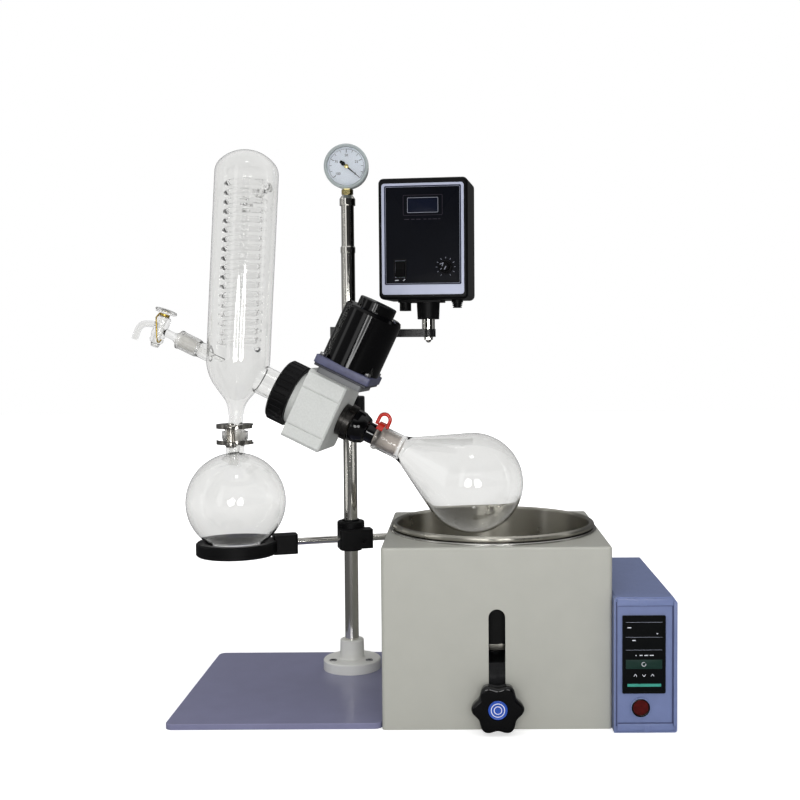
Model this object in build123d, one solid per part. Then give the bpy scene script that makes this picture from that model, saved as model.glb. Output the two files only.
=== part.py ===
from build123d import *
import math
import os

# Rotary evaporator, in millimetres. The origin is the column's axis at bench level.
# +X points right as seen from the front, +Y to the back, +Z up.

# Stand: base plate, flange, column and gauge
PLATE_X = (-203.0, 58.5)
PLATE_Y = (-232.0, 78.0)
PLATE_THICK = 7.0
PLATE_CORNER = 10.0
FLANGE_R = 40.0
FLANGE_TOP = 21.0
HUB_R = 17.0
HUB_TOP = 48.0
FLANGE_SCREW_R = 29.0
COLUMN_R = 9.5
COLUMN_WALL = 2.0
COLUMN_TOP = 587.0
COLLAR_R = 10.2
COLLAR_TOP = 596.0
UPPER_TUBE_R = 8.75
UPPER_TUBE_TOP = 655.9
CAP_R = 10.8
CAP_BOTTOM = 652.0
CAP_TOP = 666.0
HEX_FLATS = 14.0
HEX_TOP = 674.5
GAUGE_Z = 704.0
GAUGE_R = 30.5
GAUGE_DEPTH = 27.0
GAUGE_FRONT = 15.0

# Arm and speed control box
ARM_Z = 476.0
ARM_THICK = 11.0
PIN_X = 110.5
PIN_R = 9.0
BOX_YAW = -8.0
BOX_W = 122.0
BOX_H = 163.0
BOX_BOTTOM = 521.0
BOX_FRONT = -41.0
BOX_BACK = 34.0
COVER_DEPTH = 22.0
BOX_WALL = 2.5
SWITCH_XZ = (-31.0, 561.5)
SPEED_KNOB_XZ = (31.2, 563.8)
LCD_XZ = (0.4, 647.0)
LCD_SIZE = (41.0, 19.5)
ROCKER_SIZE = (12.6, 20.0)

# Head: the rotation axis slopes down to the right and is yawed towards the front
HEAD_SLOPE = 25.6
HEAD_YAW = 7.5
HEAD_REACH = 82.6
HEAD_Z = 367.0
CLAMP_Z = (345.0, 389.0)
LUG_AT = 29.0
LUG_HEIGHT = 28.0
PIVOT_R = 8.0
PIVOT_FACE = -44.3
FIT = 0.05
HOUSING_X = (-40.0, 50.0)
HOUSING_Y = (-46.0, 49.0)
HOUSING_Z = (-9.0, 45.0)
SNOUT_R = 36.0
THREAD_R = 32.0
SNOUT_END = 70.0
SPINDLE_R = 15.0
DUCT_R = 12.0
BEARING_R = 21.0
BEARING_W = 5.0
BEARING_STARTS = (-8.0, 30.0)
WORM_Z = 4.2
WHEEL_TEETH = 36
WORM_STARTS = 4
GEAR_MODULE = 1.0
WORM_PITCH_R = 7.0
GEAR_CENTRES = WORM_PITCH_R + GEAR_MODULE * WHEEL_TEETH / 2
WHEEL_W = 8.0
MOTOR_R = 38.5
MOTOR_BASE = 71.0
MOTOR_TOP = 148.0
NUT_R = 42.0

# Glass
BALL_AT = -202.0
BALL_R = 65.3
FLASK_WALL = 2.0
FLASK_CONE = 30.0
FLASK_NECK_R = 16.25
FLASK_MOUTH = -60.0
CONDENSER_AT = 146.2
CONDENSER_LEAN = 3.6
CONDENSER_R = 41.75
CONDENSER_WALL = 2.2
CONDENSER_SHOULDER = 255.5
DOME_H = 32.0
SHOULDER_R = 24.0
OUTLET_R = 9.6
NECK_R = 19.5
COIL_R = 25.0
COIL_TUBE_R = 3.9
COIL_PITCH = 12.2
COIL_TURNS = 18
COIL_LOW = 26.0
JOINT_BALL_AT = -88.0
JOINT_BALL_R = 14.4
RECEIVER_R = 66.0
RECEIVER_DROP = 91.2
STOPCOCK_AT = 265.5
STOPCOCK_LEAN = 5.0
SOCKET_END = 236.0
CONE_START = 207.5
BARREL_R = 7.6
BARREL_Z = (-21.0, 18.0)
PLUG_R = 4.6
NOZZLE_TIP_R = 4.25
FEED_R = 3.0
FEED_TIP = 168.5
NOZZLES = ((246.0, 16.0), (222.0, -16.0), (238.0, 0.0))
NOZZLE_R = 4.6
NOZZLE_BORE = 2.6
NOZZLE_END = 68.0
NOZZLE_GRIP = 16.0
NOZZLE_STOP_R = 6.2
NOZZLE_STOP_W = 2.4

# Receiving flask support
ROD_Z = 193.0
ROD_R = 4.75
ROD_OFFSET = 20.0
BOSS_Z = (177.0, 215.0)
RING_R = 53.5
RING_Z = (180.5, 198.0)

# Heating bath
BATH_X = (58.5, 333.5)
BATH_Y = (-236.0, 51.0)
BATH_H = 219.0
SHEET = 1.5
POT_XY = (196.0, -92.5)
POT_R = 125.0
POT_WALL = 1.0
POT_FLOOR = 90.0
BEAD_R = 128.6
BEAD_TUBE_R = 3.6
BEAD_Z = 225.6
JACKET_R = 128.3
SLOT_W = 20.0
SLOT_Z = (22.0, 144.8)
STUD_Z = 31.5
CARRIAGE_Z = (76.0, 80.0)
KNOB_LOBE_AT = 23.4
KNOB_LOBE_R = 8.0

# Bath controller
CTRL_X = (333.5, 408.0)
CTRL_Y = (-250.0, -7.0)
CTRL_H = 162.0
CTRL_WALL = 2.0
HEATER_SWITCH_XZ = (364.8, 30.0)
DISPLAY_X = (343.0, 393.8)
DISPLAY_Z = (47.4, 140.2)


def direction(slope, yaw):
    """Unit vector up and to the left along the head's axis."""
    s = math.radians(slope)
    y = math.radians(yaw)
    return Vector(-math.cos(s) * math.cos(y), math.cos(s) * math.sin(y), math.sin(s))


YAW = math.radians(HEAD_YAW)
LEAN = math.radians(CONDENSER_LEAN)
TO_FRONT = Vector(-math.sin(YAW), -math.cos(YAW), 0)
TO_RIGHT = Vector(math.cos(YAW), -math.sin(YAW), 0)
AXIS = direction(HEAD_SLOPE, HEAD_YAW)
HEAD_ORIGIN = TO_FRONT * HEAD_REACH + Vector(0, 0, HEAD_Z)
# In the head's frame, x points to the front, y up across the axis, z along it to the condenser
HEAD = Plane(origin=HEAD_ORIGIN, x_dir=TO_FRONT, z_dir=AXIS)
CONDENSER_UP = TO_RIGHT * math.sin(LEAN) + Vector(0, 0, math.cos(LEAN))
CONDENSER_ORIGIN = HEAD_ORIGIN + AXIS * CONDENSER_AT
# In the condenser's frame, z points up its axis and y to the back
CONDENSER = Plane(
    origin=CONDENSER_ORIGIN,
    x_dir=TO_RIGHT * math.cos(LEAN) - Vector(0, 0, math.sin(LEAN)),
    z_dir=CONDENSER_UP,
)
JOINT_BALL = CONDENSER_ORIGIN + CONDENSER_UP * JOINT_BALL_AT
RECEIVER = Pos(JOINT_BALL.X, JOINT_BALL.Y, JOINT_BALL.Z)
# Control box frame: origin on the pin's axis at bench level, turned towards the user
BOX = Pos(PIN_X, 0, 0) * Rot(0, 0, BOX_YAW)
# A shape drawn on XY with +Z out stands up and faces the front
FACING = Rot(90, 0, 0)
# A shape drawn along +Z lies along the head's own +Y, up across its axis
UPWARD = Rot(-90, 0, 0)


def rod(radius, low, high):
    """A cylinder on Z from low to high."""
    return Pos(0, 0, low) * Cylinder(radius, high - low, align=(Align.CENTER, Align.CENTER, Align.MIN))


def tube(outer, inner, low, high):
    """A hollow cylinder on Z from low to high."""
    return rod(outer, low, high) - rod(inner, low - 1, high + 1)


def block(x, y, z):
    """A box between the two ends given on each axis."""
    middle = [sum(span) / 2 for span in (x, y, z)]
    return Pos(*middle) * Box(x[1] - x[0], y[1] - y[0], z[1] - z[0])


def turned(*edges):
    """A solid turned about Z from edges drawn in the XZ plane, closed by straight lines."""
    drawn = [edge for shape in edges for edge in shape.edges()]
    ends = Wire(drawn)
    outline = ends if ends.is_closed else Wire(drawn + [Line(ends @ 1, ends @ 0).edge()])
    return revolve(Face(outline), Axis.Z)


def at(r, z):
    """A point of a turned outline."""
    return (r, 0, z)


def turned_points(*points):
    """A solid turned about Z from the corners of its outline."""
    return turned(Polyline(*[at(r, z) for r, z in points]))


def ring_of(shape, count, start=0.0):
    """Copies of a shape turned about Z, as one group of solids."""
    return Compound([Rot(0, 0, start + 360 * i / count) * shape for i in range(count)])


def star(lobes, lobe_at, lobe_r, thick, edge):
    """A star knob's body on Z: lobes joined by hollow flanks, with rounded edges."""
    body = Circle(lobe_at)
    for i in range(lobes):
        around = Rot(0, 0, 360 * i / lobes)
        body += around * Pos(lobe_at, 0) * Circle(lobe_r)
    for i in range(lobes):
        around = Rot(0, 0, 360 * (i + 0.5) / lobes)
        body -= around * Pos(lobe_at + lobe_r * 0.62, 0) * Circle(lobe_r * 0.95)
    knob = extrude(body, thick)
    return fillet(knob.edges().filter_by(GeomType.CIRCLE).group_by(Axis.Z)[-1], edge)


# Stand

def base_plate():
    """The flat base, with blind holes for the flange screws."""
    plate = block(PLATE_X, PLATE_Y, (0, PLATE_THICK))
    plate = fillet(plate.edges().filter_by(Axis.Z), PLATE_CORNER)
    plate = chamfer(plate.faces().sort_by(Axis.Z)[-1].edges(), 0.8)
    holes = ring_of(Pos(FLANGE_SCREW_R, 0) * rod(2.6, 1, 8), 3, 90)
    return plate - holes


def column_flange():
    """The turned foot that holds the column upright."""
    foot = turned_points(
        (COLUMN_R + FIT, PLATE_THICK), (FLANGE_R, PLATE_THICK), (FLANGE_R, FLANGE_TOP - 1.5),
        (FLANGE_R - 1.5, FLANGE_TOP), (HUB_R + 1.5, FLANGE_TOP), (HUB_R, FLANGE_TOP + 1.5),
        (HUB_R - 0.7, HUB_TOP - 1), (HUB_R - 1.7, HUB_TOP), (COLUMN_R + FIT, HUB_TOP),
    )
    bore = rod(2.7, 0, 30)
    sink = rod(5.4, FLANGE_TOP - 4, 30)
    return foot - ring_of(Pos(FLANGE_SCREW_R, 0) * (bore + sink), 3, 90)


def flange_screws():
    """Three socket head screws through the flange."""
    shank = rod(2.5, 2, FLANGE_TOP - 4)
    head = rod(5.0, FLANGE_TOP - 4, FLANGE_TOP + 1)
    hexagon = extrude(RegularPolygon(2.5, 6, major_radius=False), 3)
    screw = shank + head - Pos(0, 0, FLANGE_TOP - 2) * hexagon
    return ring_of(Pos(FLANGE_SCREW_R, 0) * screw, 3, 90)


def column():
    """The lower chromed tube."""
    return tube(COLUMN_R, COLUMN_R - COLUMN_WALL, PLATE_THICK, COLUMN_TOP)


def column_upper_tube():
    """The thinner upper tube with the collar at its foot."""
    bore = UPPER_TUBE_R - COLUMN_WALL
    return turned_points(
        (bore, COLUMN_TOP), (COLLAR_R, COLUMN_TOP), (COLLAR_R, COLLAR_TOP - 1.5),
        (COLLAR_R - 1, COLLAR_TOP), (UPPER_TUBE_R, COLLAR_TOP),
        (UPPER_TUBE_R, UPPER_TUBE_TOP), (bore, UPPER_TUBE_TOP),
    )


def column_cap():
    """The turned cap over the top of the column."""
    return turned_points(
        (0, UPPER_TUBE_TOP), (UPPER_TUBE_R + FIT, UPPER_TUBE_TOP), (UPPER_TUBE_R + FIT, CAP_BOTTOM),
        (CAP_R, CAP_BOTTOM), (CAP_R, CAP_TOP - 5), (CAP_R - 3.5, CAP_TOP), (0, CAP_TOP),
    )


def gauge_fitting():
    """The brass hexagon between the cap and the gauge."""
    hexagon = extrude(RegularPolygon(HEX_FLATS / 2, 6, major_radius=False), HEX_TOP - CAP_TOP - 1.5)
    body = Pos(0, 0, CAP_TOP + 1) * hexagon
    body += rod(6.2, CAP_TOP, CAP_TOP + 1)
    return body + rod(5.2, HEX_TOP - 0.5, HEX_TOP)


def facing_at(y, z, x=0.0):
    """Places a shape drawn with +Z out so that it faces the front."""
    return Pos(x, y, z) * FACING


def gauge_case():
    """The gauge's cup with its rolled bezel and bottom entry."""
    back = GAUGE_FRONT - GAUGE_DEPTH
    wall = GAUGE_R - 1.5
    cup = turned_points(
        (0, back), (wall - 3, back), (wall, back + 3), (wall, 8), (GAUGE_R, 9),
        (GAUGE_R, GAUGE_FRONT - 1.5), (GAUGE_R - 1.5, GAUGE_FRONT), (GAUGE_R - 3.8, GAUGE_FRONT),
        (GAUGE_R - 4.6, GAUGE_FRONT - 1.6), (wall - 2, GAUGE_FRONT - 1.6), (wall - 2, back + 2),
        (0, back + 2),
    )
    cup = facing_at(0, GAUGE_Z) * cup
    entry = rod(5.0, HEX_TOP, GAUGE_Z - wall + 2.5)
    boss = facing_at(0, GAUGE_Z) * (rod(6, back + 2, 4) - rod(1.0, -2, 5))
    return cup + entry + boss


def gauge_dial():
    """The dial plate, with the pointer shaft's hole."""
    return facing_at(0, GAUGE_Z) * tube(26.5, 0.85, 8.0, 9.0)


def gauge_pointer():
    """The pointer, its tail and its shaft, set at the zero mark at lower right."""
    outline = Polyline(
        (-11, -1.7), (-7, -2.4), (-3.5, -0.9), (2, -1.1), (19.5, -0.15), (19.5, 0.15), (2, 1.1),
        (-3.5, 0.9), (-7, 2.4), (-11, 1.7), (-11, -1.7),
    )
    blade = Pos(0, 0, 10.3) * extrude(Face(Wire(outline)), 0.5)
    hub = rod(2.2, 9.4, 11.4)
    shaft = rod(0.8, 0, 10)
    return facing_at(0, GAUGE_Z) * Rot(0, 0, -40) * (blade + hub + shaft)


def gauge_lens():
    """The flat glass, held behind the bezel's lip."""
    return facing_at(0, GAUGE_Z) * rod(26.8, GAUGE_FRONT - 3.4, GAUGE_FRONT - 1.65)


# Arm and control box

def arm():
    """The bar that carries the control box: a split clamp at the column, an eye at the pin."""
    low = ARM_Z - ARM_THICK / 2
    eye = Pos(PIN_X, 0, low) * extrude(Circle(10), ARM_THICK)
    bar = block((12, PIN_X), (-9, 9), (low, low + ARM_THICK))
    bar = bar - Pos(PIN_X, 0, 0) * rod(9.9, low - 1, low + ARM_THICK + 1)
    clamp = rod(16.5, ARM_Z - 10, ARM_Z + 10)
    clamp += block((-25, -8), (-8, 8), (ARM_Z - 9, ARM_Z + 9))
    whole = clamp + bar + eye
    whole -= rod(COLUMN_R + FIT, ARM_Z - 20, ARM_Z + 20)
    whole -= block((-30, -5), (-1, 1), (ARM_Z - 20, ARM_Z + 20))
    whole -= Pos(-20, 0, ARM_Z) * Rot(90, 0, 0) * Cylinder(2.6, 40)
    whole += Pos(-20, 0, ARM_Z) * Rot(90, 0, 0) * Cylinder(2.6, 22)
    return whole - Pos(PIN_X, 0, 0) * rod(4.0, low - 1, low + ARM_THICK + 1)


def box_pin():
    """The chromed post that the control box turns on, with its dome nut under the arm."""
    low = ARM_Z - ARM_THICK / 2
    high = ARM_Z + ARM_THICK / 2
    post = rod(PIN_R, high, BOX_BOTTOM - 8)
    post = chamfer(post.edges().sort_by(Axis.Z)[-1], 1)
    stud = rod(4.0, low, high)
    nut = Pos(0, 0, low - 4) * extrude(RegularPolygon(5.2, 6, major_radius=False), 4)
    dome = Pos(0, 0, low - 4) * Sphere(3.9)
    washer = rod(6.5, low - 0.8, low)
    return Pos(PIN_X, 0, 0) * (post + stud + nut + dome + washer)


def box_socket():
    """The moulded socket under the control box, with its fixing plate."""
    low = ARM_Z + ARM_THICK / 2 + 13.5
    boss = turned_points((0, BOX_BOTTOM), (16.2, BOX_BOTTOM), (15.0, low), (0, low))
    plate = block((-40, 22), (-17, 17), (BOX_BOTTOM - 3, BOX_BOTTOM))
    plate = fillet(plate.edges().filter_by(Axis.Z), 4)
    body = boss + plate - rod(PIN_R + FIT, low - 1, BOX_BOTTOM - 7.5)
    # The fuse holder passes through a hole in the fixing plate
    return BOX * (body - Pos(-31, -6, 0) * rod(8.3, BOX_BOTTOM - 9, BOX_BOTTOM + 1))


def box_half(y, front):
    """One half of the control box: a rounded tray, open at the parting line."""
    height = (BOX_BOTTOM, BOX_BOTTOM + BOX_H)
    half = block((-BOX_W / 2, BOX_W / 2), y, height)
    half = fillet(half.edges().filter_by(Axis.Y), 7)
    end = half.faces().sort_by(Axis.Y)[0 if front else -1]
    half = fillet(end.edges(), 4)
    wall = BOX_WALL
    inside = (y[0] + wall, y[1] + 1) if front else (y[0] - 1, y[1] - wall)
    room = block((-BOX_W / 2 + wall, BOX_W / 2 - wall), inside, (height[0] + wall, height[1] - wall))
    return half - fillet(room.edges().filter_by(Axis.Y), 5)


def control_cover():
    """The front half of the control box, with its switch, knob and display openings."""
    cover = box_half((BOX_FRONT, BOX_FRONT + COVER_DEPTH), True)
    x, z = SWITCH_XZ
    w, h = ROCKER_SIZE
    cover -= Pos(x, BOX_FRONT, z) * Box(w + 0.8, 20, h + 2.4)
    cover -= Pos(SPEED_KNOB_XZ[0], BOX_FRONT, SPEED_KNOB_XZ[1]) * Rot(90, 0, 0) * Cylinder(4, 20)
    cover -= Pos(LCD_XZ[0], BOX_FRONT, LCD_XZ[1]) * Box(LCD_SIZE[0], 20, LCD_SIZE[1])
    return BOX * cover


def control_case():
    """The back half of the control box."""
    case = box_half((BOX_FRONT + COVER_DEPTH, BOX_BACK), False)
    case -= Pos(-31, -6, 0) * rod(5.6, BOX_BOTTOM - 5, BOX_BOTTOM + 5)
    case -= Pos(41, -2, 0) * rod(5.1, BOX_BOTTOM - 5, BOX_BOTTOM + 5)
    return BOX * case


def control_label():
    """The front plate: a raised frame with a wide lower band round a sunk field."""
    middle = BOX_BOTTOM + BOX_H / 2 - 0.5
    plate = Pos(0, 0, 0) * extrude(RectangleRounded(112, 149, 4), 1.2)
    field = Pos(0, 5, 0.7) * extrude(RectangleRounded(105, 133, 2), 1)
    plate = facing_at(BOX_FRONT, middle) * (plate - field)
    x, z = SWITCH_XZ
    w, h = ROCKER_SIZE
    plate -= Pos(x, BOX_FRONT, z) * Box(w + 0.8, 20, h + 2.4)
    plate -= Pos(SPEED_KNOB_XZ[0], BOX_FRONT, SPEED_KNOB_XZ[1]) * Rot(90, 0, 0) * Cylinder(4, 20)
    plate -= Pos(LCD_XZ[0], BOX_FRONT, LCD_XZ[1]) * Box(LCD_SIZE[0] - 3, 20, LCD_SIZE[1] - 3)
    return BOX * plate


def control_board():
    """The board behind the panel: display module, potentiometer, switch body, transformer."""
    back = BOX_BACK - BOX_WALL
    mid = BOX_BOTTOM + BOX_H / 2
    board = block((-52, 52), (14, 15.6), (mid - 68, mid + 68))
    for x in (-46, 46):
        for z in (mid - 60, mid + 60):
            board += Pos(x, 0, z) * FACING * rod(3, -back, -15.6)
    board += block((-30, 14), (-18, 14), (mid - 52, mid - 14))
    board += block((-46, -30), (2, 14), (mid + 4, mid + 40))
    # The display module stands on the board and fills its window
    x, z = LCD_XZ
    board += block((x - 20.3, x + 20.3), (BOX_FRONT + 0.2, -32), (z - 9.5, z + 9.5))
    board += block((x - 16, x + 16), (-32, 14), (z - 5, z + 5))
    x, z = SPEED_KNOB_XZ
    pot = facing_at(0, z, x) * (rod(9, -14, 30) - rod(3.05, 16, 31))
    board += pot
    x, z = SWITCH_XZ
    board += block((x - 6, x + 6), (-22, 14), (z - 9.5, z + 9.5))
    return BOX * board


def fuse_and_gland():
    """The fuse holder and the ribbed cable gland under the box."""
    fuse = rod(8.0, BOX_BOTTOM - 14.5, BOX_BOTTOM) + rod(5.5, BOX_BOTTOM, BOX_BOTTOM + 22)
    fuse = Pos(-31, -6, 0) * (fuse - rod(3, BOX_BOTTOM - 15, BOX_BOTTOM - 12))
    profile = [(3.2, BOX_BOTTOM), (8.0, BOX_BOTTOM), (8.0, BOX_BOTTOM - 3.5)]
    for i in range(3):
        z = BOX_BOTTOM - 3.5 - 2.4 * i
        r = 7.2 - 0.5 * i
        profile += [(r - 1, z), (r - 1, z - 1.2), (r, z - 1.2), (r, z - 2.4)]
    profile += [(3.2, BOX_BOTTOM - 10.7)]
    gland = Pos(41, -2, 0) * (turned_points(*profile) + tube(5.0, 3.2, BOX_BOTTOM, BOX_BOTTOM + 8))
    return BOX * Compound([fuse, gland])


def power_switch():
    """The rocker: a shallow V across its face, on a pivot behind the panel."""
    w, h = ROCKER_SIZE
    side = Polyline(
        (-h / 2, 0), (-h / 2, 3.6), (0, 1.6), (h / 2, 2.2), (h / 2, 0), (3.5, -7), (-3.5, -7), (-h / 2, 0)
    )
    body = extrude(Face(Wire(side)), w / 2, both=True)
    # The side outline is drawn on XY; its X becomes up and its Y becomes out
    turned_up = Rot(0, 90, 0) * Rot(0, 0, 90) * body
    x, z = SWITCH_XZ
    return BOX * facing_at(BOX_FRONT - 1.0, z, x) * turned_up


def speed_knob():
    """The speed knob: fluted skirt, flat cap and shaft."""
    x, z = SPEED_KNOB_XZ
    knob = turned_points((0, 2.0), (9.0, 2.0), (8.4, 5), (7.0, 5.5), (6.4, 15), (5.8, 15.8), (0, 15.8))
    flutes = ring_of(Pos(7.4, 0, 5.6) * extrude(Circle(0.9), 12), 14)
    knob -= flutes
    knob += rod(3.0, -24, 2.5)
    return BOX * facing_at(BOX_FRONT, z, x) * knob


# Head carriage

def head_sleeve():
    """The split liner that slides on the column, with a flange under the clamp."""
    sleeve = turned_points(
        (COLUMN_R + FIT, CLAMP_Z[0] - 3), (16, CLAMP_Z[0] - 3), (16, CLAMP_Z[0] - 0.3),
        (12.5, CLAMP_Z[0] - 0.3), (12.5, CLAMP_Z[1] + 2), (COLUMN_R + FIT, CLAMP_Z[1] + 2),
    )
    return sleeve - block((5, 20), (-0.75, 0.75), (CLAMP_Z[0] - 10, CLAMP_Z[1] + 10))


def swing(shape):
    """Places a shape drawn with +X along the head's right so that it turns with the head."""
    return Rot(0, 0, -HEAD_YAW) * shape


def head_clamp():
    """The cast clamp on the column with its split lugs and the trunnion that the head tilts on."""
    low, high = CLAMP_Z
    mid = (low + high) / 2
    ring = rod(21, low, high)
    ring = chamfer(ring.edges().filter_by(GeomType.CIRCLE), 1.2)
    lugs = block((-38, -10), (-13, 13), (mid - LUG_HEIGHT / 2, mid + LUG_HEIGHT / 2))
    lugs = fillet(lugs.edges().filter_by(Axis.Y), 5)
    casting = ring + lugs
    casting += Pos(0, 0, HEAD_Z) * Rot(90, 0, 0) * rod(17, 12, HEAD_REACH + PIVOT_FACE)
    casting -= rod(12.5 + FIT, low - 5, high + 5)
    casting -= block((-45, -5), (-1.5, 1.5), (low - 5, high + 5))
    casting -= Pos(-LUG_AT, 0, mid) * Rot(90, 0, 0) * Cylinder(4 + FIT, 60)
    casting += Pos(0, 0, HEAD_Z) * Rot(90, 0, 0) * rod(PIVOT_R, 30, HEAD_REACH - 27)
    return swing(casting)


def clamp_knob():
    """The star knob and screw that close the clamp, at the back left of the column."""
    screw = rod(4.0, -14, 16) + rod(6.5, -18, -13.3)
    grip = Pos(0, 0, 13.3) * (rod(8, 0, 10) + Pos(0, 0, 9) * star(5, 13.5, 5.5, 12, 2))
    knob = screw + grip
    mid = sum(CLAMP_Z) / 2
    return swing(Pos(-LUG_AT, 0, mid) * Rot(-90, 0, 0) * knob)


# Head

def head_housing():
    """The cast gear housing: bored for the spindle, with the worm's well and the pivot boss."""
    body = block(HOUSING_X, HOUSING_Y, HOUSING_Z)
    body = chamfer(body.edges().filter_by(Axis.Z), 4)
    body = chamfer(body.faces().sort_by(Axis.Z)[0].edges(), 2)
    for y in (24.4, -26.5):
        body -= block((HOUSING_X[1] - 1.6, HOUSING_X[1] + 1), (y - 1.1, y + 1.1), (-20, 60))
    body += rod(SNOUT_R, HOUSING_Z[1], 56.7)
    body += rod(THREAD_R, 56.7, SNOUT_END)
    body += Rot(0, -90, 0) * rod(15, -HOUSING_X[0] - 1, 44)
    body -= rod(SPINDLE_R + 0.4, HOUSING_Z[0] - 1, SNOUT_END + 1)
    body -= rod(BEARING_R, BEARING_STARTS[0], SNOUT_END - 10)
    body -= rod(27 + FIT, SNOUT_END - 10, SNOUT_END + 1)
    well = Pos(GEAR_CENTRES, 0, WORM_Z) * UPWARD * rod(10, -22, HOUSING_Y[1] + 1)
    foot = Pos(GEAR_CENTRES, 0, WORM_Z) * UPWARD * rod(3.5 + FIT, -29, -21)
    pivot = Rot(0, -90, 0) * rod(PIVOT_R + FIT, 26.5, 46)
    return HEAD * (body - well - foot - pivot)


def motor_flange():
    """The square motor plate on its spacer, bolted to the housing's top."""
    spacer = Pos(0, 0, HOUSING_Y[1]) * extrude(RectangleRounded(62, 62, 4), 8)
    lower = Pos(0, 0, HOUSING_Y[1] + 8) * extrude(RectangleRounded(73, 73, 3), 3.6)
    plate_low = HOUSING_Y[1] + 11.4
    plate = Pos(0, 0, plate_low) * extrude(RectangleRounded(76, 76, 3), MOTOR_BASE - plate_low)
    whole = spacer + lower + plate - rod(10, HOUSING_Y[1] - 1, MOTOR_BASE + 1)
    whole = Pos(GEAR_CENTRES, 0, WORM_Z) * UPWARD * whole
    return HEAD * whole


def motor_body():
    """The motor's can with its rounded shoulder and the smaller end cap."""
    body = turned_points(
        (0, MOTOR_BASE), (MOTOR_R, MOTOR_BASE), (MOTOR_R, MOTOR_TOP - 5), (MOTOR_R - 1.5, MOTOR_TOP - 1.6),
        (MOTOR_R - 5, MOTOR_TOP), (25, MOTOR_TOP), (25, MOTOR_TOP + 11), (23.8, MOTOR_TOP + 12.2),
        (0, MOTOR_TOP + 12.2),
    )
    body -= rod(3.5 + FIT, MOTOR_BASE - 1, MOTOR_BASE + 20)
    return HEAD * Pos(GEAR_CENTRES, 0, WORM_Z) * UPWARD * body


def lobed(teeth, root, tip, root_half, tip_half):
    """A toothed outline: straight flanks from root to tip, half widths in degrees."""
    points = []
    for i in range(teeth):
        mid = 360 * i / teeth
        for r, a in ((root, -root_half), (tip, -tip_half), (tip, tip_half), (root, root_half)):
            t = math.radians(mid + a)
            points.append((r * math.cos(t), r * math.sin(t)))
    return Face(Wire.make_polygon([Vector(x, y, 0) for x, y in points], close=True))


def twisted(face, length, degrees):
    """A face extruded along +Z while it turns about Z."""
    return Solid.extrude_linear_with_rotation(face, (0, 0, 0), (0, 0, length), degrees)


def worm():
    """The motor's shaft with a four start worm."""
    lead = math.pi * GEAR_MODULE * WORM_STARTS
    length = 24.0
    face = lobed(WORM_STARTS, 5.8, 7.8, 31, 9.5)
    thread = twisted(face, length, 360 * length / lead)
    # At mid length a groove faces the wheel, so the lobes stand at 45 degrees there
    start = 45 - 180 * length / lead
    thread = Pos(0, 0, -length / 2) * Rot(0, 0, start) * thread
    shaft = rod(3.5, -28, -11) + rod(5.0, 11, 60) + rod(3.5, 59, MOTOR_BASE + 18)
    return HEAD * Pos(GEAR_CENTRES, 0, WORM_Z) * UPWARD * (thread + shaft)


def worm_wheel():
    """The bronze wheel on the spindle, cut with teeth at the worm's lead angle."""
    pitch_r = GEAR_MODULE * WHEEL_TEETH / 2
    lead_tan = GEAR_MODULE * WORM_STARTS / (2 * WORM_PITCH_R)
    turn = math.degrees(WHEEL_W * lead_tan / pitch_r)
    face = lobed(WHEEL_TEETH, pitch_r - 1.15, pitch_r + 0.85, 3.6, 1.1)
    wheel = Rot(0, 0, -turn / 2) * twisted(face, WHEEL_W, turn)
    wheel = Pos(0, 0, WORM_Z - WHEEL_W / 2) * wheel
    return HEAD * (wheel - rod(SPINDLE_R + 0.02, 0, 20))


def spindle():
    """The hollow spindle that the flask turns on."""
    return HEAD * tube(SPINDLE_R, DUCT_R + 0.5, -25.8, 52)


def bearing_outer_races():
    """The outer races of the two spindle bearings."""
    races = [tube(BEARING_R - 0.02, 19.3, z, z + BEARING_W) for z in BEARING_STARTS]
    return HEAD * Compound(races)


def bearing_inner_races():
    """The inner races of the two spindle bearings, with their balls."""
    pieces = []
    for z in BEARING_STARTS:
        pieces.append(tube(17.0, SPINDLE_R + 0.02, z, z + BEARING_W))
        for i in range(14):
            pieces.append(Rot(0, 0, 360 * i / 14) * Pos(18.15, 0, z + BEARING_W / 2) * Sphere(1.1))
    return HEAD * Compound(pieces)


def spindle_collar():
    """The slotted steel collar between the housing and the flask nut."""
    collar = turned_points(
        (SPINDLE_R + 0.02, -26), (22.5, -26), (24, -24.5), (24, -17), (21.8, -16.2), (21.8, -9.4),
        (SPINDLE_R + 0.02, -9.4),
    )
    slots = ring_of(Pos(24, 0, -22) * Box(4, 4.5, 8.2), 4, 45)
    return HEAD * (collar - slots)


def flask_nut():
    """The ribbed conical nut that pushes the flask off its joint, with its bright thread end."""
    nut = turned_points(
        (DUCT_R + 0.3, -59.6), (13.4, -59.6), (13.4, -47.5), (15.2, -47.5), (22.3, -33), (22.3, -26),
        (DUCT_R + 0.3, -26),
    )
    grooves = ring_of(Pos(23.6, 0, -31) * Rot(0, -8, 0) * Cylinder(2.0, 24), 16)
    return HEAD * (nut - grooves)


def vapour_duct():
    """The glass tube from the flask's joint through the spindle to the condenser."""
    outline = turned_points(
        (DUCT_R - 2, 75), (DUCT_R, 75), (DUCT_R, -59.7), (14.45, -61.0), (12.85, -93), (DUCT_R - 2, -93),
    )
    return HEAD * outline


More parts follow.
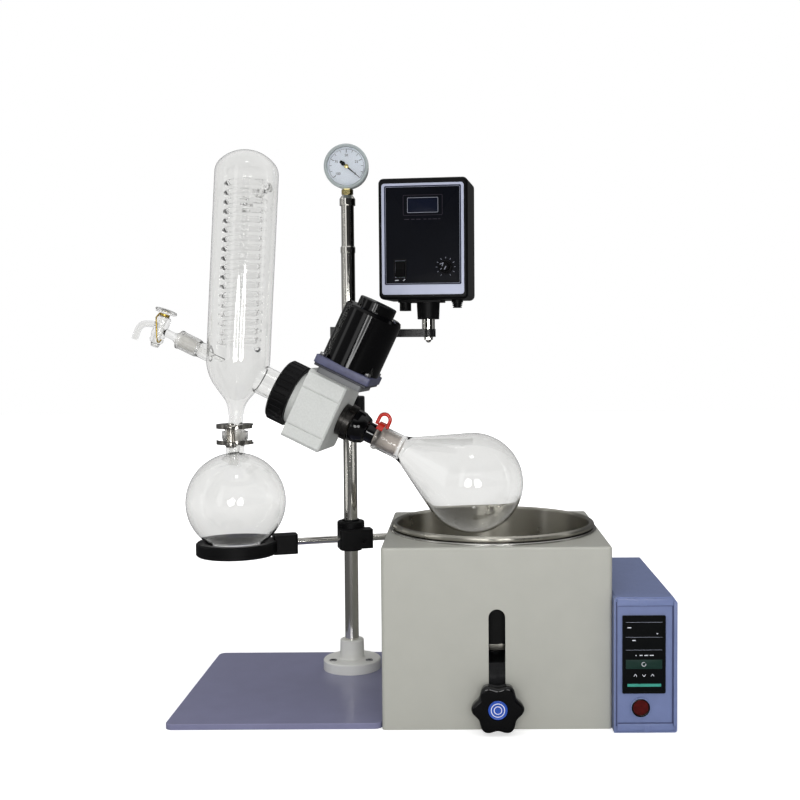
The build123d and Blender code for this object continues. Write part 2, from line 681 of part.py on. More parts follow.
def pear(ball_r, wall, low, cone, neck_r, neck_from):
    """The outline of a pear flask: bottom of the ball to the start of its neck."""
    r = ball_r - wall
    slope = math.radians(cone)
    touch = (r * math.cos(slope), low + r * math.sin(slope))
    reach = (touch[0] - neck_r) / math.tan(slope)
    corner = (neck_r, touch[1] + reach)
    half = math.radians(-25)
    bulge = (r * math.cos(half), low + r * math.sin(half))
    arc = ThreePointArc(at(0, low - r), at(*bulge), at(*touch))
    neck = FilletPolyline(at(*touch), at(*corner), at(neck_r, neck_from), radius=14)
    return [arc] + list(neck.edges())


def evaporating_flask():
    """The one litre pear flask with its ground neck and beaded mouth."""
    outer = pear(BALL_R, 0, BALL_AT, FLASK_CONE, FLASK_NECK_R, FLASK_MOUTH - 6)
    bead = Polyline(
        at(FLASK_NECK_R, FLASK_MOUTH - 6), at(18.0, FLASK_MOUTH - 4.6), at(18.0, FLASK_MOUTH - 1.4),
        at(17.0, FLASK_MOUTH - 0.3), at(14.6, FLASK_MOUTH - 0.3), at(0, FLASK_MOUTH - 0.3),
    )
    inner = pear(BALL_R, FLASK_WALL, BALL_AT, FLASK_CONE, 13.0, FLASK_MOUTH - 34)
    joint = Polyline(at(13.0, FLASK_MOUTH - 34), at(14.6, FLASK_MOUTH), at(0, FLASK_MOUTH))
    return HEAD * (turned(*outer, bead) - turned(*inner, joint))


def flask_clip():
    """The red spring clip over the flask's bead, with its finger loop."""
    band = tube(20.6, 18.2, -67, -55.5)
    lip = tube(18.3, 16.6, -68.2, -66.8)
    band += tube(20.6, 16.6, -68.4, -67) + tube(20.6, 14.0, -56.8, -55.4)
    band -= lip
    band -= block((-30, 30), (-30, -9), (-80, -40))
    loop = Pos(0, 26.4, -61.5) * Rot(0, 90, 0) * Torus(5.2, 1.8)
    return HEAD * (band + loop)


def vacuum_seal():
    """The lipped seal ring between the turning duct and the fixed housing."""
    seal = turned_points(
        (DUCT_R + FIT + 0.01, SNOUT_END - 9.7), (27, SNOUT_END - 9.7), (27, SNOUT_END - 0.3),
        (17.5, SNOUT_END - 0.3), (15, SNOUT_END - 4.5), (13.4, SNOUT_END - 1.2),
        (DUCT_R + FIT + 0.01, SNOUT_END - 0.8),
    )
    return HEAD * seal


def coupling_nut():
    """The large ribbed nut that holds the condenser's flange to the housing."""
    nut = turned_points(
        (THREAD_R + 0.1, 57), (NUT_R - 1, 57), (NUT_R, 58), (NUT_R, 80), (NUT_R - 2.5, 82.4),
        (20.6, 82.4), (20.6, 76.4), (THREAD_R + 0.1, 76.4),
    )
    grooves = ring_of(Pos(NUT_R + 0.9, 0, 69.6) * Cylinder(2.0, 19), 30)
    return HEAD * (nut - grooves)


# Condenser and receiving flask

def dome(wall):
    """The dome's two tangent arcs: a round shoulder and a flatter crown."""
    inset = CONDENSER_R - SHOULDER_R
    crown_r = (inset ** 2 + DOME_H ** 2 - SHOULDER_R ** 2) / (2 * (DOME_H - SHOULDER_R))
    crown_drop = crown_r - DOME_H
    meet = math.atan2(crown_drop, inset)

    def on_shoulder(angle):
        r = SHOULDER_R - wall
        return at(inset + r * math.cos(angle), CONDENSER_SHOULDER + r * math.sin(angle))

    def on_crown(angle):
        r = crown_r - wall
        return at(r * math.cos(angle), CONDENSER_SHOULDER - crown_drop + r * math.sin(angle))

    shoulder = ThreePointArc(on_shoulder(0), on_shoulder(meet / 2), on_shoulder(meet))
    crown = ThreePointArc(on_shoulder(meet), on_crown((meet + math.pi / 2) / 2), on_crown(math.pi / 2))
    return shoulder, crown


def condenser_body(wall):
    """The condenser's turned solid, drawn in by the wall: outlet, bulb, barrel and dome."""
    r = CONDENSER_R - wall
    out = OUTLET_R - wall
    top = CONDENSER_SHOULDER + DOME_H - wall
    side = FilletPolyline(
        at(out, JOINT_BALL_AT), at(out, -50 - wall * 0.4), at(r, -9 + wall * 0.5), at(r, CONDENSER_SHOULDER),
        radius=[16, 24],
    )
    close = Polyline(at(0, top), at(0, JOINT_BALL_AT), at(out, JOINT_BALL_AT))
    return turned(side, *dome(wall), close)


def nozzle_at(height, side):
    """The place of a hose nozzle on the condenser's back: +Z of the nozzle points to the back."""
    return Pos(side, 0, height) * Rot(-90, 0, 0)


def condenser_jacket():
    """The condenser's glass: barrel, bulb, neck, feed socket, hose nozzles and ball end."""
    outer = CONDENSER * condenser_body(0)
    outer += HEAD * rod(NECK_R, 76, CONDENSER_AT)
    outer += HEAD * rod(31, SNOUT_END + 0.05, 76.1)
    outer += HEAD * (rod(10.5, CONDENSER_AT, 207) + rod(12.2, 205, SOCKET_END))
    outer += CONDENSER * Pos(0, 0, JOINT_BALL_AT) * Sphere(JOINT_BALL_R)
    bores = CONDENSER * condenser_body(CONDENSER_WALL)
    bores += HEAD * rod(NECK_R - 3, SNOUT_END - 1, CONDENSER_AT)
    bores += HEAD * (rod(7.6, CONDENSER_AT, 207) + rod(9.3, 206, SOCKET_END + 1))
    bores += CONDENSER * rod(OUTLET_R - CONDENSER_WALL, JOINT_BALL_AT - 20, JOINT_BALL_AT + 5)
    for height, side in NOZZLES:
        place = CONDENSER * nozzle_at(height, side)
        stop = NOZZLE_END - NOZZLE_GRIP
        outer += place * (rod(NOZZLE_R, 30, NOZZLE_END) + rod(NOZZLE_STOP_R, stop - NOZZLE_STOP_W, stop))
        bores += place * rod(NOZZLE_BORE, 20, NOZZLE_END + 1)
    jacket = outer - bores
    return max(jacket.solids(), key=lambda s: s.volume)


def cooling_coil():
    """The glass cooling coil: a helix of straight facets closing on a centre tube."""
    sides = 6
    steps = 16
    rings = []
    for i in range(COIL_TURNS * steps + 1):
        turn = 2 * math.pi * i / steps
        middle = Vector(COIL_R * math.cos(turn), COIL_R * math.sin(turn), COIL_LOW + COIL_PITCH * i / steps)
        out = Vector(math.cos(turn), math.sin(turn), 0)
        points = []
        for j in range(sides):
            a = 2 * math.pi * j / sides
            points.append(middle + out * (COIL_TUBE_R * math.cos(a)) + Vector(0, 0, COIL_TUBE_R * math.sin(a)))
        rings.append(points)
    faces = []
    for low, high in zip(rings, rings[1:]):
        for j in range(sides):
            k = (j + 1) % sides
            faces.append(Face(Wire.make_polygon([low[j], low[k], high[k]], close=True)))
            faces.append(Face(Wire.make_polygon([low[j], high[k], high[j]], close=True)))
    faces.append(Face(Wire.make_polygon(rings[0][::-1], close=True)))
    faces.append(Face(Wire.make_polygon(rings[-1], close=True)))
    helix = Solid(Shell(faces))
    return CONDENSER * helix


def stopcock_frame():
    """The stopcock's own frame: z up its barrel, at the barrel's crossing with the head's axis."""
    return HEAD * Pos(0, 0, STOPCOCK_AT) * Rot(-90 + STOPCOCK_LEAN, 0, 0)


def stopcock_body():
    """The feed cock's glass: barrel, ground cone in the condenser's socket, and bent nozzle."""
    barrel = stopcock_frame() * rod(BARREL_R, *BARREL_Z)
    cone_end = SOCKET_END - 0.5
    stem = HEAD * turned_points(
        (0, CONE_START), (8.3, CONE_START), (9.2, cone_end), (7.0, cone_end + 4), (5.2, cone_end + 8),
        (5.2, STOPCOCK_AT), (0, STOPCOCK_AT),
    )
    feed = HEAD * (rod(FEED_R, FEED_TIP, CONE_START + 1) + Pos(0, 0, FEED_TIP) * Sphere(FEED_R))
    inside = HEAD_ORIGIN + AXIS * FEED_TIP
    drop = Pos(inside.X, inside.Y, inside.Z) * rod(FEED_R, -21, 0)
    crossing = HEAD_ORIGIN + AXIS * STOPCOCK_AT
    run = FilletPolyline((2, 0, 7), (-27, 0, 9), (-36, 0, -12), radius=11)
    start = Plane(origin=run @ 0, z_dir=run % 0)
    nozzle = sweep(start * Circle(NOZZLE_TIP_R), run)
    bore = sweep(start * Circle(NOZZLE_TIP_R - 1.6), run)
    place = Pos(crossing.X, crossing.Y, crossing.Z) * Rot(0, 0, -HEAD_YAW)
    body = barrel + stem + place * nozzle + feed + drop
    body -= stopcock_frame() * rod(PLUG_R + FIT, BARREL_Z[0] - 3, BARREL_Z[1] + 3)
    body -= place * bore
    return max(body.solids(), key=lambda s: s.volume)


def stopcock_plug():
    """The plug with its flat round handle."""
    low, high = BARREL_Z
    plug = rod(PLUG_R, low - 2.5, high + 1)
    handle = rod(5.2, high + 0.3, high + 5.5) + rod(14.8, high + 5.5, high + 10)
    handle = fillet(handle.edges().group_by(Axis.Z)[-1], 2)
    cap = rod(5.4, low - 3, low - 0.4)
    return stopcock_frame() * (plug + handle + cap - Rot(0, 90, 0) * Cylinder(1.6, 20))


def ball_joint_clamp():
    """The spring steel fork clamp that holds the ball joint together."""
    def fork(z, throat):
        plate = Circle(24.5) - Circle(throat)
        plate -= Pos(0, -25) * Rectangle(2 * throat, 50)
        plate += Pos(0, 25) * Rectangle(18, 12)
        return Pos(0, 0, z) * extrude(plate, 1.6)

    upper = fork(11.6, 11.2)
    lower = fork(-13.5, 14.6)
    screw = Pos(0, 27, 0) * rod(2.4, -20, 17)
    nut = Pos(0, 27, 0) * rod(6.5, -19, -13.5)
    sides = Circle(24.5) - Circle(22.9) - Pos(0, -25) * Rectangle(60, 50)
    skirts = Pos(0, 0, 7.6) * extrude(sides, 4.2) + Pos(0, 0, -12) * extrude(sides, 4.2)
    return RECEIVER * (upper + lower + screw + nut + skirts)


def receiving_flask():
    """The one litre round receiving flask with the cup of the ball joint."""
    drop = -RECEIVER_DROP
    neck = 12.3
    def outline(wall, cup_r, top):
        r = RECEIVER_R - wall
        n = neck - wall
        meet = drop + math.sqrt(r * r - n * n)
        arc = ThreePointArc(at(0, drop - r), at(r, drop), at(n, meet))
        return [arc, Polyline(at(n, meet), at(n, -15), at(cup_r, -7), at(cup_r, top), at(0, top))]

    outer = turned(*outline(0, 17.2, 3.4))
    inner = turned(*outline(2.2, neck - 2.2, 4.4))
    cup = Sphere(JOINT_BALL_R + 0.15)
    return RECEIVER * (outer - inner - cup)


# Support of the receiving flask

ROD_YAW = math.degrees(math.atan2(-ROD_OFFSET - JOINT_BALL.Y, -JOINT_BALL.X))


def along_rod(shape):
    """Places a shape drawn with +X along the rod, from the ring's centre."""
    return Pos(JOINT_BALL.X, JOINT_BALL.Y, 0) * Rot(0, 0, ROD_YAW) * shape


REACH_TO_COLUMN = math.hypot(JOINT_BALL.X, JOINT_BALL.Y + ROD_OFFSET)


def support_sleeve():
    """The split liner of the cross boss, with a flange under it."""
    low, high = BOSS_Z
    sleeve = turned_points(
        (COLUMN_R + FIT, low - 3), (15, low - 3), (15, low - 0.3), (12, low - 0.3), (12, high + 2),
        (COLUMN_R + FIT, high + 2),
    )
    return sleeve - block((5, 20), (-0.75, 0.75), (low - 10, high + 10))


def cross_boss():
    """The moulded cross boss: a clamp round the column and a cross bore for the rod."""
    low, high = BOSS_Z
    ring = rod(19, low, high)
    ring = chamfer(ring.edges().filter_by(GeomType.CIRCLE), 1.5)
    lug = along_rod(block((REACH_TO_COLUMN - 15, REACH_TO_COLUMN + 31), (-13, 11), (ROD_Z - 13, ROD_Z + 13)))
    lug = fillet(lug.edges().filter_by(Axis.Z), 3)
    boss = ring + lug
    boss -= rod(12 + FIT, low - 5, high + 5)
    boss -= along_rod(Pos(REACH_TO_COLUMN, 0, ROD_Z) * Rot(0, 90, 0) * Cylinder(ROD_R + FIT, 120))
    # Sockets of the two set screws
    boss -= along_rod(Pos(REACH_TO_COLUMN + 17, -13, ROD_Z - 2) * Rot(90, 0, 0) * Cylinder(3, 9))
    return boss - Pos(0, 19, ROD_Z + 8) * Rot(90, 0, 0) * Cylinder(3, 7)


def support_rod():
    """The chromed rod that carries the ring."""
    bar = rod(ROD_R, 68, REACH_TO_COLUMN + 56)
    bar = chamfer(bar.edges().sort_by(Axis.Z)[-1], 1)
    return along_rod(Pos(0, 0, ROD_Z) * Rot(0, 90, 0) * bar)


def support_ring():
    """The ring with its sloped seat and the block that holds the rod."""
    low, high = RING_Z
    ring = turned_points(
        (39, low), (RING_R - 2, low), (RING_R, low + 2), (RING_R, high - 2), (RING_R - 2, high),
        (43, high), (39, high - 4),
    )
    ring = Pos(JOINT_BALL.X, JOINT_BALL.Y, 0) * ring
    body = block((RING_R - 6, 81), (-12, 12), (ROD_Z - 15, ROD_Z + 11))
    body = fillet(body.edges().filter_by(Axis.Z), 4)
    body = along_rod(body - rod(RING_R - 4, 150, 250))
    bore = along_rod(Pos(0, 0, ROD_Z) * Rot(0, 90, 0) * rod(ROD_R + 0.02, 68, 90))
    return ring + body - bore


# Heating bath

POT = Pos(POT_XY[0], POT_XY[1], 0)


def bath_case():
    """The folded steel case: round opening with its trim ring on top, slot at the front."""
    case = block(BATH_X, BATH_Y, (0, BATH_H))
    case = fillet(case.edges().filter_by(Axis.Z), 5)
    case = fillet(case.faces().sort_by(Axis.Z)[-1].edges(), 2.5)
    room = block(
        (BATH_X[0] + SHEET, BATH_X[1] - SHEET), (BATH_Y[0] + SHEET, BATH_Y[1] - SHEET), (-1, BATH_H - SHEET)
    )
    case -= fillet(room.edges().filter_by(Axis.Z), 3.5)
    case -= POT * rod(130.5, BATH_H - 10, BATH_H + 10)
    slot_r = SLOT_W / 2
    slot = Pos(POT_XY[0], BATH_Y[0], SLOT_Z[1] - slot_r) * Rot(90, 0, 0) * Cylinder(slot_r, 12)
    slot += block(
        (POT_XY[0] - slot_r, POT_XY[0] + slot_r),
        (BATH_Y[0] - 6, BATH_Y[0] + 6),
        (SLOT_Z[0], SLOT_Z[1] - slot_r),
    )
    case -= slot
    trim = turned_points(
        (129.4, BATH_H - 6), (130.5, BATH_H - 6), (130.5, BATH_H), (134.4, BATH_H), (134.4, BATH_H + 1.2),
        (133.4, BATH_H + 2.3), (129.4, BATH_H + 2.3),
    )
    return case + POT * trim


def bath_bottom():
    """The bottom plate with the guide tube of the pot's lift."""
    plate = block(
        (BATH_X[0] + SHEET, BATH_X[1] - SHEET), (BATH_Y[0] + SHEET, BATH_Y[1] - SHEET), (0, 2)
    )
    plate = fillet(plate.edges().filter_by(Axis.Z), 3.5)
    guide = turned_points((8.0 + FIT, 0), (30, 0), (30, 5), (12.5, 7), (12.5, 74), (8.0 + FIT, 74))
    return plate - POT * rod(8.0 + FIT, -1, 3) + POT * guide


def bath_pot():
    """The spun stainless pot with its rolled rim."""
    wall = POT_R + POT_WALL
    shell = FilletPolyline(
        at(0, POT_FLOOR - POT_WALL), at(wall, POT_FLOOR - POT_WALL), at(wall, BEAD_Z), radius=9
    )
    lining = FilletPolyline(at(POT_R, BEAD_Z), at(POT_R, POT_FLOOR), at(0, POT_FLOOR), radius=8)
    rim = Line(shell @ 1, lining @ 0)
    pot = turned(shell, rim, lining)
    bead = Pos(0, 0, BEAD_Z) * Torus(BEAD_R, BEAD_TUBE_R)
    return POT * (pot + bead)


def pot_jacket():
    """The black insulated jacket round the pot."""
    return POT * tube(JACKET_R, POT_R + POT_WALL + 0.2, POT_FLOOR + 9, BEAD_Z - BEAD_TUBE_R)


def heater_element():
    """The ring heater under the pot, with its two upright terminals."""
    ring = Pos(0, 0, POT_FLOOR - POT_WALL - 4.1) * Torus(80, 4)
    outer = Pos(0, 0, POT_FLOOR - POT_WALL - 4.1) * Torus(58, 4)
    link = block((58, 80), (-4, 4), (POT_FLOOR - 8.6, POT_FLOOR - 1.6))
    return POT * (ring + outer + link)


def lift_carriage():
    """The pot's carriage: cross bar, guide rod and the folded tab behind the slot."""
    px, py = POT_XY
    low, high = CARRIAGE_Z
    tab_y = BATH_Y[0] + SHEET + 1.5
    bar = block((px - 22, px + 22), (tab_y, py + 105), (low, high))
    cross = block((px - 105, px + 105), (py - 18, py + 18), (low, high))
    tab = block((px - 22, px + 22), (tab_y, tab_y + 4), (18, high))
    body = bar + cross + tab
    body += POT * rod(20, high - 0.5, POT_FLOOR - POT_WALL)
    body += POT * rod(8, 3, low + 1)
    boss = Pos(px, tab_y + 9, STUD_Z) * Rot(90, 0, 0) * Cylinder(8, 12)
    body += boss
    return body - Pos(px, tab_y, STUD_Z) * Rot(90, 0, 0) * Cylinder(4 + FIT, 60)


def lift_knob():
    """The six lobed knob on its stud through the slot, with its washer."""
    grip = Pos(0, 0, 12) * star(6, KNOB_LOBE_AT, KNOB_LOBE_R, 14, 3)
    neck = turned_points((0, 1.2), (15, 1.2), (13, 12.5), (0, 12.5))
    washer = rod(17, 0.3, 1.3)
    stud = rod(4, -18, 2)
    knob = grip + neck + washer + stud
    knob -= rod(11.5, 25, 30)
    return facing_at(BATH_Y[0], STUD_Z, POT_XY[0]) * knob


# Bath controller

def controller_case():
    """The controller's extruded shell with chamfered upper edges and a lip round each end."""
    x0, x1 = CTRL_X
    outline = Polyline(
        (x0, 0), (x1 - 2, 0), (x1, 2), (x1, CTRL_H - 7), (x1 - 5, CTRL_H), (x0 + 3, CTRL_H), (x0, CTRL_H - 3),
        (x0, 0),
    )
    w = CTRL_WALL
    inside = Polyline(
        (x0 + w, w), (x1 - w, w), (x1 - w, CTRL_H - 8), (x1 - 6, CTRL_H - w), (x0 + 4, CTRL_H - w),
        (x0 + w, CTRL_H - 4), (x0 + w, w),
    )
    length = CTRL_Y[1] - CTRL_Y[0]
    shell = extrude(Face(Wire(outline)), length) - Pos(0, 0, w) * extrude(Face(Wire(inside)), length)
    # The open end faces the front, the closed end is the back
    shell = Pos(0, CTRL_Y[1], 0) * FACING * shell
    vents_from = CTRL_Y[1] - 60
    slots = [block((x1 - 5, x1 + 5), (vents_from + 8 * i, vents_from + 8 * i + 3), (24, 70)) for i in range(5)]
    return shell - slots


def controller_front():
    """The front panel, set inside the shell's lip, with the openings of display and switch."""
    x0, x1 = CTRL_X
    w = CTRL_WALL
    panel = block((x0 + w + 0.1, x1 - w - 0.1), (CTRL_Y[0] + 0.8, CTRL_Y[0] + 3), (w + 0.1, CTRL_H - 8))
    top = Polyline(
        (x0 + w + 0.1, CTRL_H - 8), (x1 - w - 0.1, CTRL_H - 8), (x1 - 6.1, CTRL_H - w - 0.1),
        (x0 + 4.1, CTRL_H - w - 0.1), (x0 + w + 0.1, CTRL_H - 4), (x0 + w + 0.1, CTRL_H - 8),
    )
    panel += Pos(0, CTRL_Y[0] + 3, 0) * FACING * extrude(Face(Wire(top)), 2.2)
    x, z = HEATER_SWITCH_XZ
    panel += facing_at(CTRL_Y[0] + 0.8, z, x) * tube(12.0, 10.3, 0, 2.2)
    panel -= facing_at(CTRL_Y[0], z, x) * rod(10.3, -10, 10)
    return panel


def controller_display():
    """The temperature controller's front block, standing a little proud of the panel."""
    body = block(DISPLAY_X, (CTRL_Y[0] - 1.6, CTRL_Y[0] + 0.8), DISPLAY_Z)
    body = fillet(body.edges().filter_by(Axis.Y), 1.5)
    field = block(
        (DISPLAY_X[0] + 2, DISPLAY_X[1] - 2),
        (CTRL_Y[0] - 3, CTRL_Y[0] - 1.1),
        (DISPLAY_Z[0] + 2, DISPLAY_Z[1] - 2),
    )
    return body - field


def heater_switch():
    """The round rocker of the bath's power switch."""
    disc = rod(9.6, 0, 3.6)
    # Two shallow slopes meet at the middle of the rocker's face
    cutter = Pos(0, 0, 9.4) * Rot(8, 0, 0) * Box(30, 60, 12)
    body = disc - (Pos(0, 10, 0) * cutter)
    body += block((-3, 3), (-5, 5), (-9, 1))
    x, z = HEATER_SWITCH_XZ
    return facing_at(CTRL_Y[0] + 0.8, z, x) * body


PARTS = {
    "base_plate": base_plate,
    "column_flange": column_flange,
    "flange_screws": flange_screws,
    "column": column,
    "column_upper_tube": column_upper_tube,
    "column_cap": column_cap,
    "gauge_fitting": gauge_fitting,
    "gauge_case": gauge_case,
    "gauge_dial": gauge_dial,
    "gauge_pointer": gauge_pointer,
    "gauge_lens": gauge_lens,
    "arm": arm,
    "box_pin": box_pin,
    "box_socket": box_socket,
    "control_case": control_case,
    "control_cover": control_cover,
    "control_label": control_label,
    "control_board": control_board,
    "fuse_and_gland": fuse_and_gland,
    "power_switch": power_switch,
    "speed_knob": speed_knob,
    "head_sleeve": head_sleeve,
    "head_clamp": head_clamp,
    "clamp_knob": clamp_knob,
    "head_housing": head_housing,
    "motor_flange": motor_flange,
    "motor_body": motor_body,
    "worm": worm,
    "worm_wheel": worm_wheel,
    "spindle": spindle,
    "bearing_outer_races": bearing_outer_races,
    "bearing_inner_races": bearing_inner_races,
    "spindle_collar": spindle_collar,
    "flask_nut": flask_nut,
    "flask_clip": flask_clip,
    "vapour_duct": vapour_duct,
    "evaporating_flask": evaporating_flask,
    "vacuum_seal": vacuum_seal,
    "coupling_nut": coupling_nut,
    "condenser_jacket": condenser_jacket,
    "cooling_coil": cooling_coil,
    "stopcock_body": stopcock_body,
    "stopcock_plug": stopcock_plug,
    "ball_joint_clamp": ball_joint_clamp,
    "receiving_flask": receiving_flask,
    "support_sleeve": support_sleeve,
    "cross_boss": cross_boss,
    "support_rod": support_rod,
    "support_ring": support_ring,
    "bath_case": bath_case,
    "bath_bottom": bath_bottom,
    "bath_pot": bath_pot,
    "pot_jacket": pot_jacket,
    "heater_element": heater_element,
    "lift_carriage": lift_carriage,
    "lift_knob": lift_knob,
    "controller_case": controller_case,
    "controller_front": controller_front,
    "controller_display": controller_display,
    "heater_switch": heater_switch,
}

os.makedirs("parts", exist_ok=True)
for name, make in PARTS.items():
    shape = make()
    export_step(shape, f"parts/{name}.step")
    print(name, round(shape.volume / 1000, 2), "cm3")
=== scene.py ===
"""Dresses a bench rotary evaporator: finishes, blown glass, dial, panels and small fittings.

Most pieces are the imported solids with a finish. The blown glass and a few mouldings replace simpler solids,
and prints, clips and trims are added. Lengths are in millimetres until a mesh is written, the row frame is +X
right, +Y back, +Z up, and the outline of a turned piece lists (radius, height) pairs.
"""
import logging
import math
from dataclasses import dataclass
from enum import Enum
from functools import lru_cache
from typing import Sequence

import bmesh
import bpy
import numpy as np
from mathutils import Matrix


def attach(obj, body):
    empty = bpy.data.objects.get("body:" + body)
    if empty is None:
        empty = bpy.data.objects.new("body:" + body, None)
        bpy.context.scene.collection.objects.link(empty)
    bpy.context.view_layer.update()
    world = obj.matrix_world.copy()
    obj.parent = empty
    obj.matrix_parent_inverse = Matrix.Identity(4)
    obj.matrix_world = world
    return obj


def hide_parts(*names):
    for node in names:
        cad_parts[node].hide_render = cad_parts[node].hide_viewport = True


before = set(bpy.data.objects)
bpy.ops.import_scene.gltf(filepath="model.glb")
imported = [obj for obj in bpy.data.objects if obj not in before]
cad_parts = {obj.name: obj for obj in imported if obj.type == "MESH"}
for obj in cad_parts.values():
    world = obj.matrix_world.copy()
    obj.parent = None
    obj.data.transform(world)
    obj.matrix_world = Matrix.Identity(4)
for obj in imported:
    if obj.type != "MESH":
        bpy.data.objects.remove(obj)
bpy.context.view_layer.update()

LOG = logging.getLogger("evaporator")
Array = np.ndarray
TAU = 2.0 * math.pi
MM = 0.001
# Points nearer than this, in millimetres, count as one
NEAR = 1e-6
# The least length that anything is divided by
TINY = 1e-9
# How much of its shorter neighbour a rounded corner may take
SHORT_OF_HALF = 0.48
# In metres: how near doubles are to be merged, and how short an edge is to be dropped
MERGE_WITHIN = 2e-6
DROP_BELOW = 1e-7
# In degrees: the edges that stay sharp on plain mouldings, on blown glass and on cut glass
SHARP = 38.0
GLASS_SHARP = 50.0
CUT_GLASS_SHARP = 44.0


# Frames


class Axis(Enum):
    """One of a frame's own axes."""

    X = "x"
    Y = "y"
    Z = "z"


class Cut(Enum):
    """What a set of closed tools does to a piece."""

    JOIN = "UNION"
    REMOVE = "DIFFERENCE"


@dataclass(frozen=True)
class Frame:
    """A right-handed place in the row frame: an origin in millimetres and three unit axes."""

    origin: Array
    x: Array
    y: Array
    z: Array

    def place(self, points: Array) -> Array:
        """Local points (..., 3) to the row frame: origin plus each coordinate times its axis."""
        p = np.asarray(points, dtype=float)
        return self.origin + p[..., 0, None] * self.x + p[..., 1, None] * self.y + p[..., 2, None] * self.z

    def moved(self, x: float = 0.0, y: float = 0.0, z: float = 0.0) -> "Frame":
        """The same axes at a local offset."""
        return Frame(self.place(np.array([x, y, z])), self.x, self.y, self.z)

    def turned(self, axis: Axis, degrees: float) -> "Frame":
        """The frame turned about one of its own axes by the right-hand rule.

        Args:
            axis: the axis.
            degrees: the angle.

        Returns:
            The turned frame.
        """
        c, s = math.cos(math.radians(degrees)), math.sin(math.radians(degrees))
        if axis is Axis.X:
            return Frame(self.origin, self.x, self.y * c + self.z * s, self.z * c - self.y * s)
        if axis is Axis.Y:
            return Frame(self.origin, self.x * c - self.z * s, self.y, self.z * c + self.x * s)
        return Frame(self.origin, self.x * c + self.y * s, self.y * c - self.x * s, self.z)


ROW = Frame(np.zeros(3), np.array([1.0, 0, 0]), np.array([0, 1.0, 0]), np.array([0, 0, 1.0]))


@dataclass(frozen=True)
class Layout:
    """The sizes that place the sub-assemblies, as in the solids."""

    head_slope: float = 25.6
    head_yaw: float = 7.5
    head_reach: float = 82.6
    head_z: float = 367.0
    gear_centres: float = 25.0
    worm_z: float = 4.2
    condenser_at: float = 146.2
    condenser_lean: float = 3.6
    joint_ball_at: float = -88.0
    stopcock_at: float = 265.5
    stopcock_lean: float = 5.0
    pin_x: float = 110.5
    box_yaw: float = -8.0
    pot_xy: tuple[float, float] = (196.0, -92.5)

    def head(self) -> Frame:
        """The head: x to the front, y up across the axis, z along the axis to the condenser."""
        s, w = math.radians(self.head_slope), math.radians(self.head_yaw)
        front = np.array([-math.sin(w), -math.cos(w), 0.0])
        axis = np.array([-math.cos(s) * math.cos(w), math.cos(s) * math.sin(w), math.sin(s)])
        origin = front * self.head_reach + np.array([0.0, 0.0, self.head_z])
        return Frame(origin, front, np.cross(axis, front), axis)

    def right(self) -> Array:
        """The level direction to the head's right."""
        w = math.radians(self.head_yaw)
        return np.array([math.cos(w), -math.sin(w), 0.0])

    def motor(self) -> Frame:
        """The motor: z up its own axis, x to the front."""
        head = self.head().moved(x=self.gear_centres, z=self.worm_z)
        return Frame(head.origin, head.x, -head.z, head.y)

    def condenser(self) -> Frame:
        """The condenser: z up its axis, y to the back."""
        lean = math.radians(self.condenser_lean)
        up = self.right() * math.sin(lean) + np.array([0.0, 0.0, math.cos(lean)])
        side = self.right() * math.cos(lean) - np.array([0.0, 0.0, math.sin(lean)])
        return Frame(self.head().place(np.array([0.0, 0.0, self.condenser_at])), side, np.cross(up, side), up)

    def receiver(self) -> Frame:
        """The receiving flask: upright, at the middle of the ball joint."""
        return Frame(self.condenser().place(np.array([0.0, 0.0, self.joint_ball_at])), ROW.x, ROW.y, ROW.z)

    def stopcock(self) -> Frame:
        """The feed cock: z up its barrel, at the crossing with the head's axis."""
        return self.head().moved(z=self.stopcock_at).turned(Axis.X, -90.0 + self.stopcock_lean)

    def box(self) -> Frame:
        """The control box: z up its pin, x to its right and y to its back."""
        return ROW.moved(x=self.pin_x).turned(Axis.Z, self.box_yaw)


def facing(base: Frame, x: float, y: float, z: float) -> Frame:
    """A drawing plane that faces the front of a frame: local x right, y up, z out towards the user."""
    moved = base.moved(x, y, z)
    return Frame(moved.origin, base.x, base.z, -base.y)


LAYOUT = Layout()
HEAD = LAYOUT.head()
MOTOR = LAYOUT.motor()
CONDENSER = LAYOUT.condenser()
RECEIVER = LAYOUT.receiver()
STOPCOCK = LAYOUT.stopcock()
BOX = LAYOUT.box()
POT = ROW.moved(*LAYOUT.pot_xy)


# Shapes: arrays of points


def rounded(corners: Sequence[tuple[float, float]], radius: float | Sequence[float], steps: int = 6,
            closed: bool = False) -> Array:
    """A polyline with each corner replaced by a quadratic curve.

    At a corner c between points a and b, the curve runs from c + r (a - c)/|a - c| to c + r (b - c)/|b - c|
    with c as its control point. r is limited to just under half of the shorter neighbour.

    Args:
        corners: the outline's points.
        radius: one cut length, or one for each corner.
        steps: segments of each curve.
        closed: whether the last point joins the first.

    Returns:
        The points, (n, 2).
    """
    c = np.asarray(corners, dtype=float)
    back, ahead = np.roll(c, 1, axis=0) - c, np.roll(c, -1, axis=0) - c
    lb, la = np.linalg.norm(back, axis=1), np.linalg.norm(ahead, axis=1)
    r = np.minimum(np.broadcast_to(np.asarray(radius, dtype=float), lb.shape),
                   SHORT_OF_HALF * np.minimum(lb, la))
    if not closed:
        r = r.copy()
        r[[0, -1]] = 0.0
    start = c + back / np.maximum(lb, TINY)[:, None] * r[:, None]
    end = c + ahead / np.maximum(la, TINY)[:, None] * r[:, None]
    t = np.linspace(0.0, 1.0, steps + 1)[None, :, None]
    curve = (1 - t) ** 2 * start[:, None] + 2 * t * (1 - t) * c[:, None] + t**2 * end[:, None]
    points = curve.reshape(-1, 2)
    keep = np.linalg.norm(points - np.roll(points, 1, axis=0), axis=1) > NEAR
    keep[0] = True
    return points[keep]


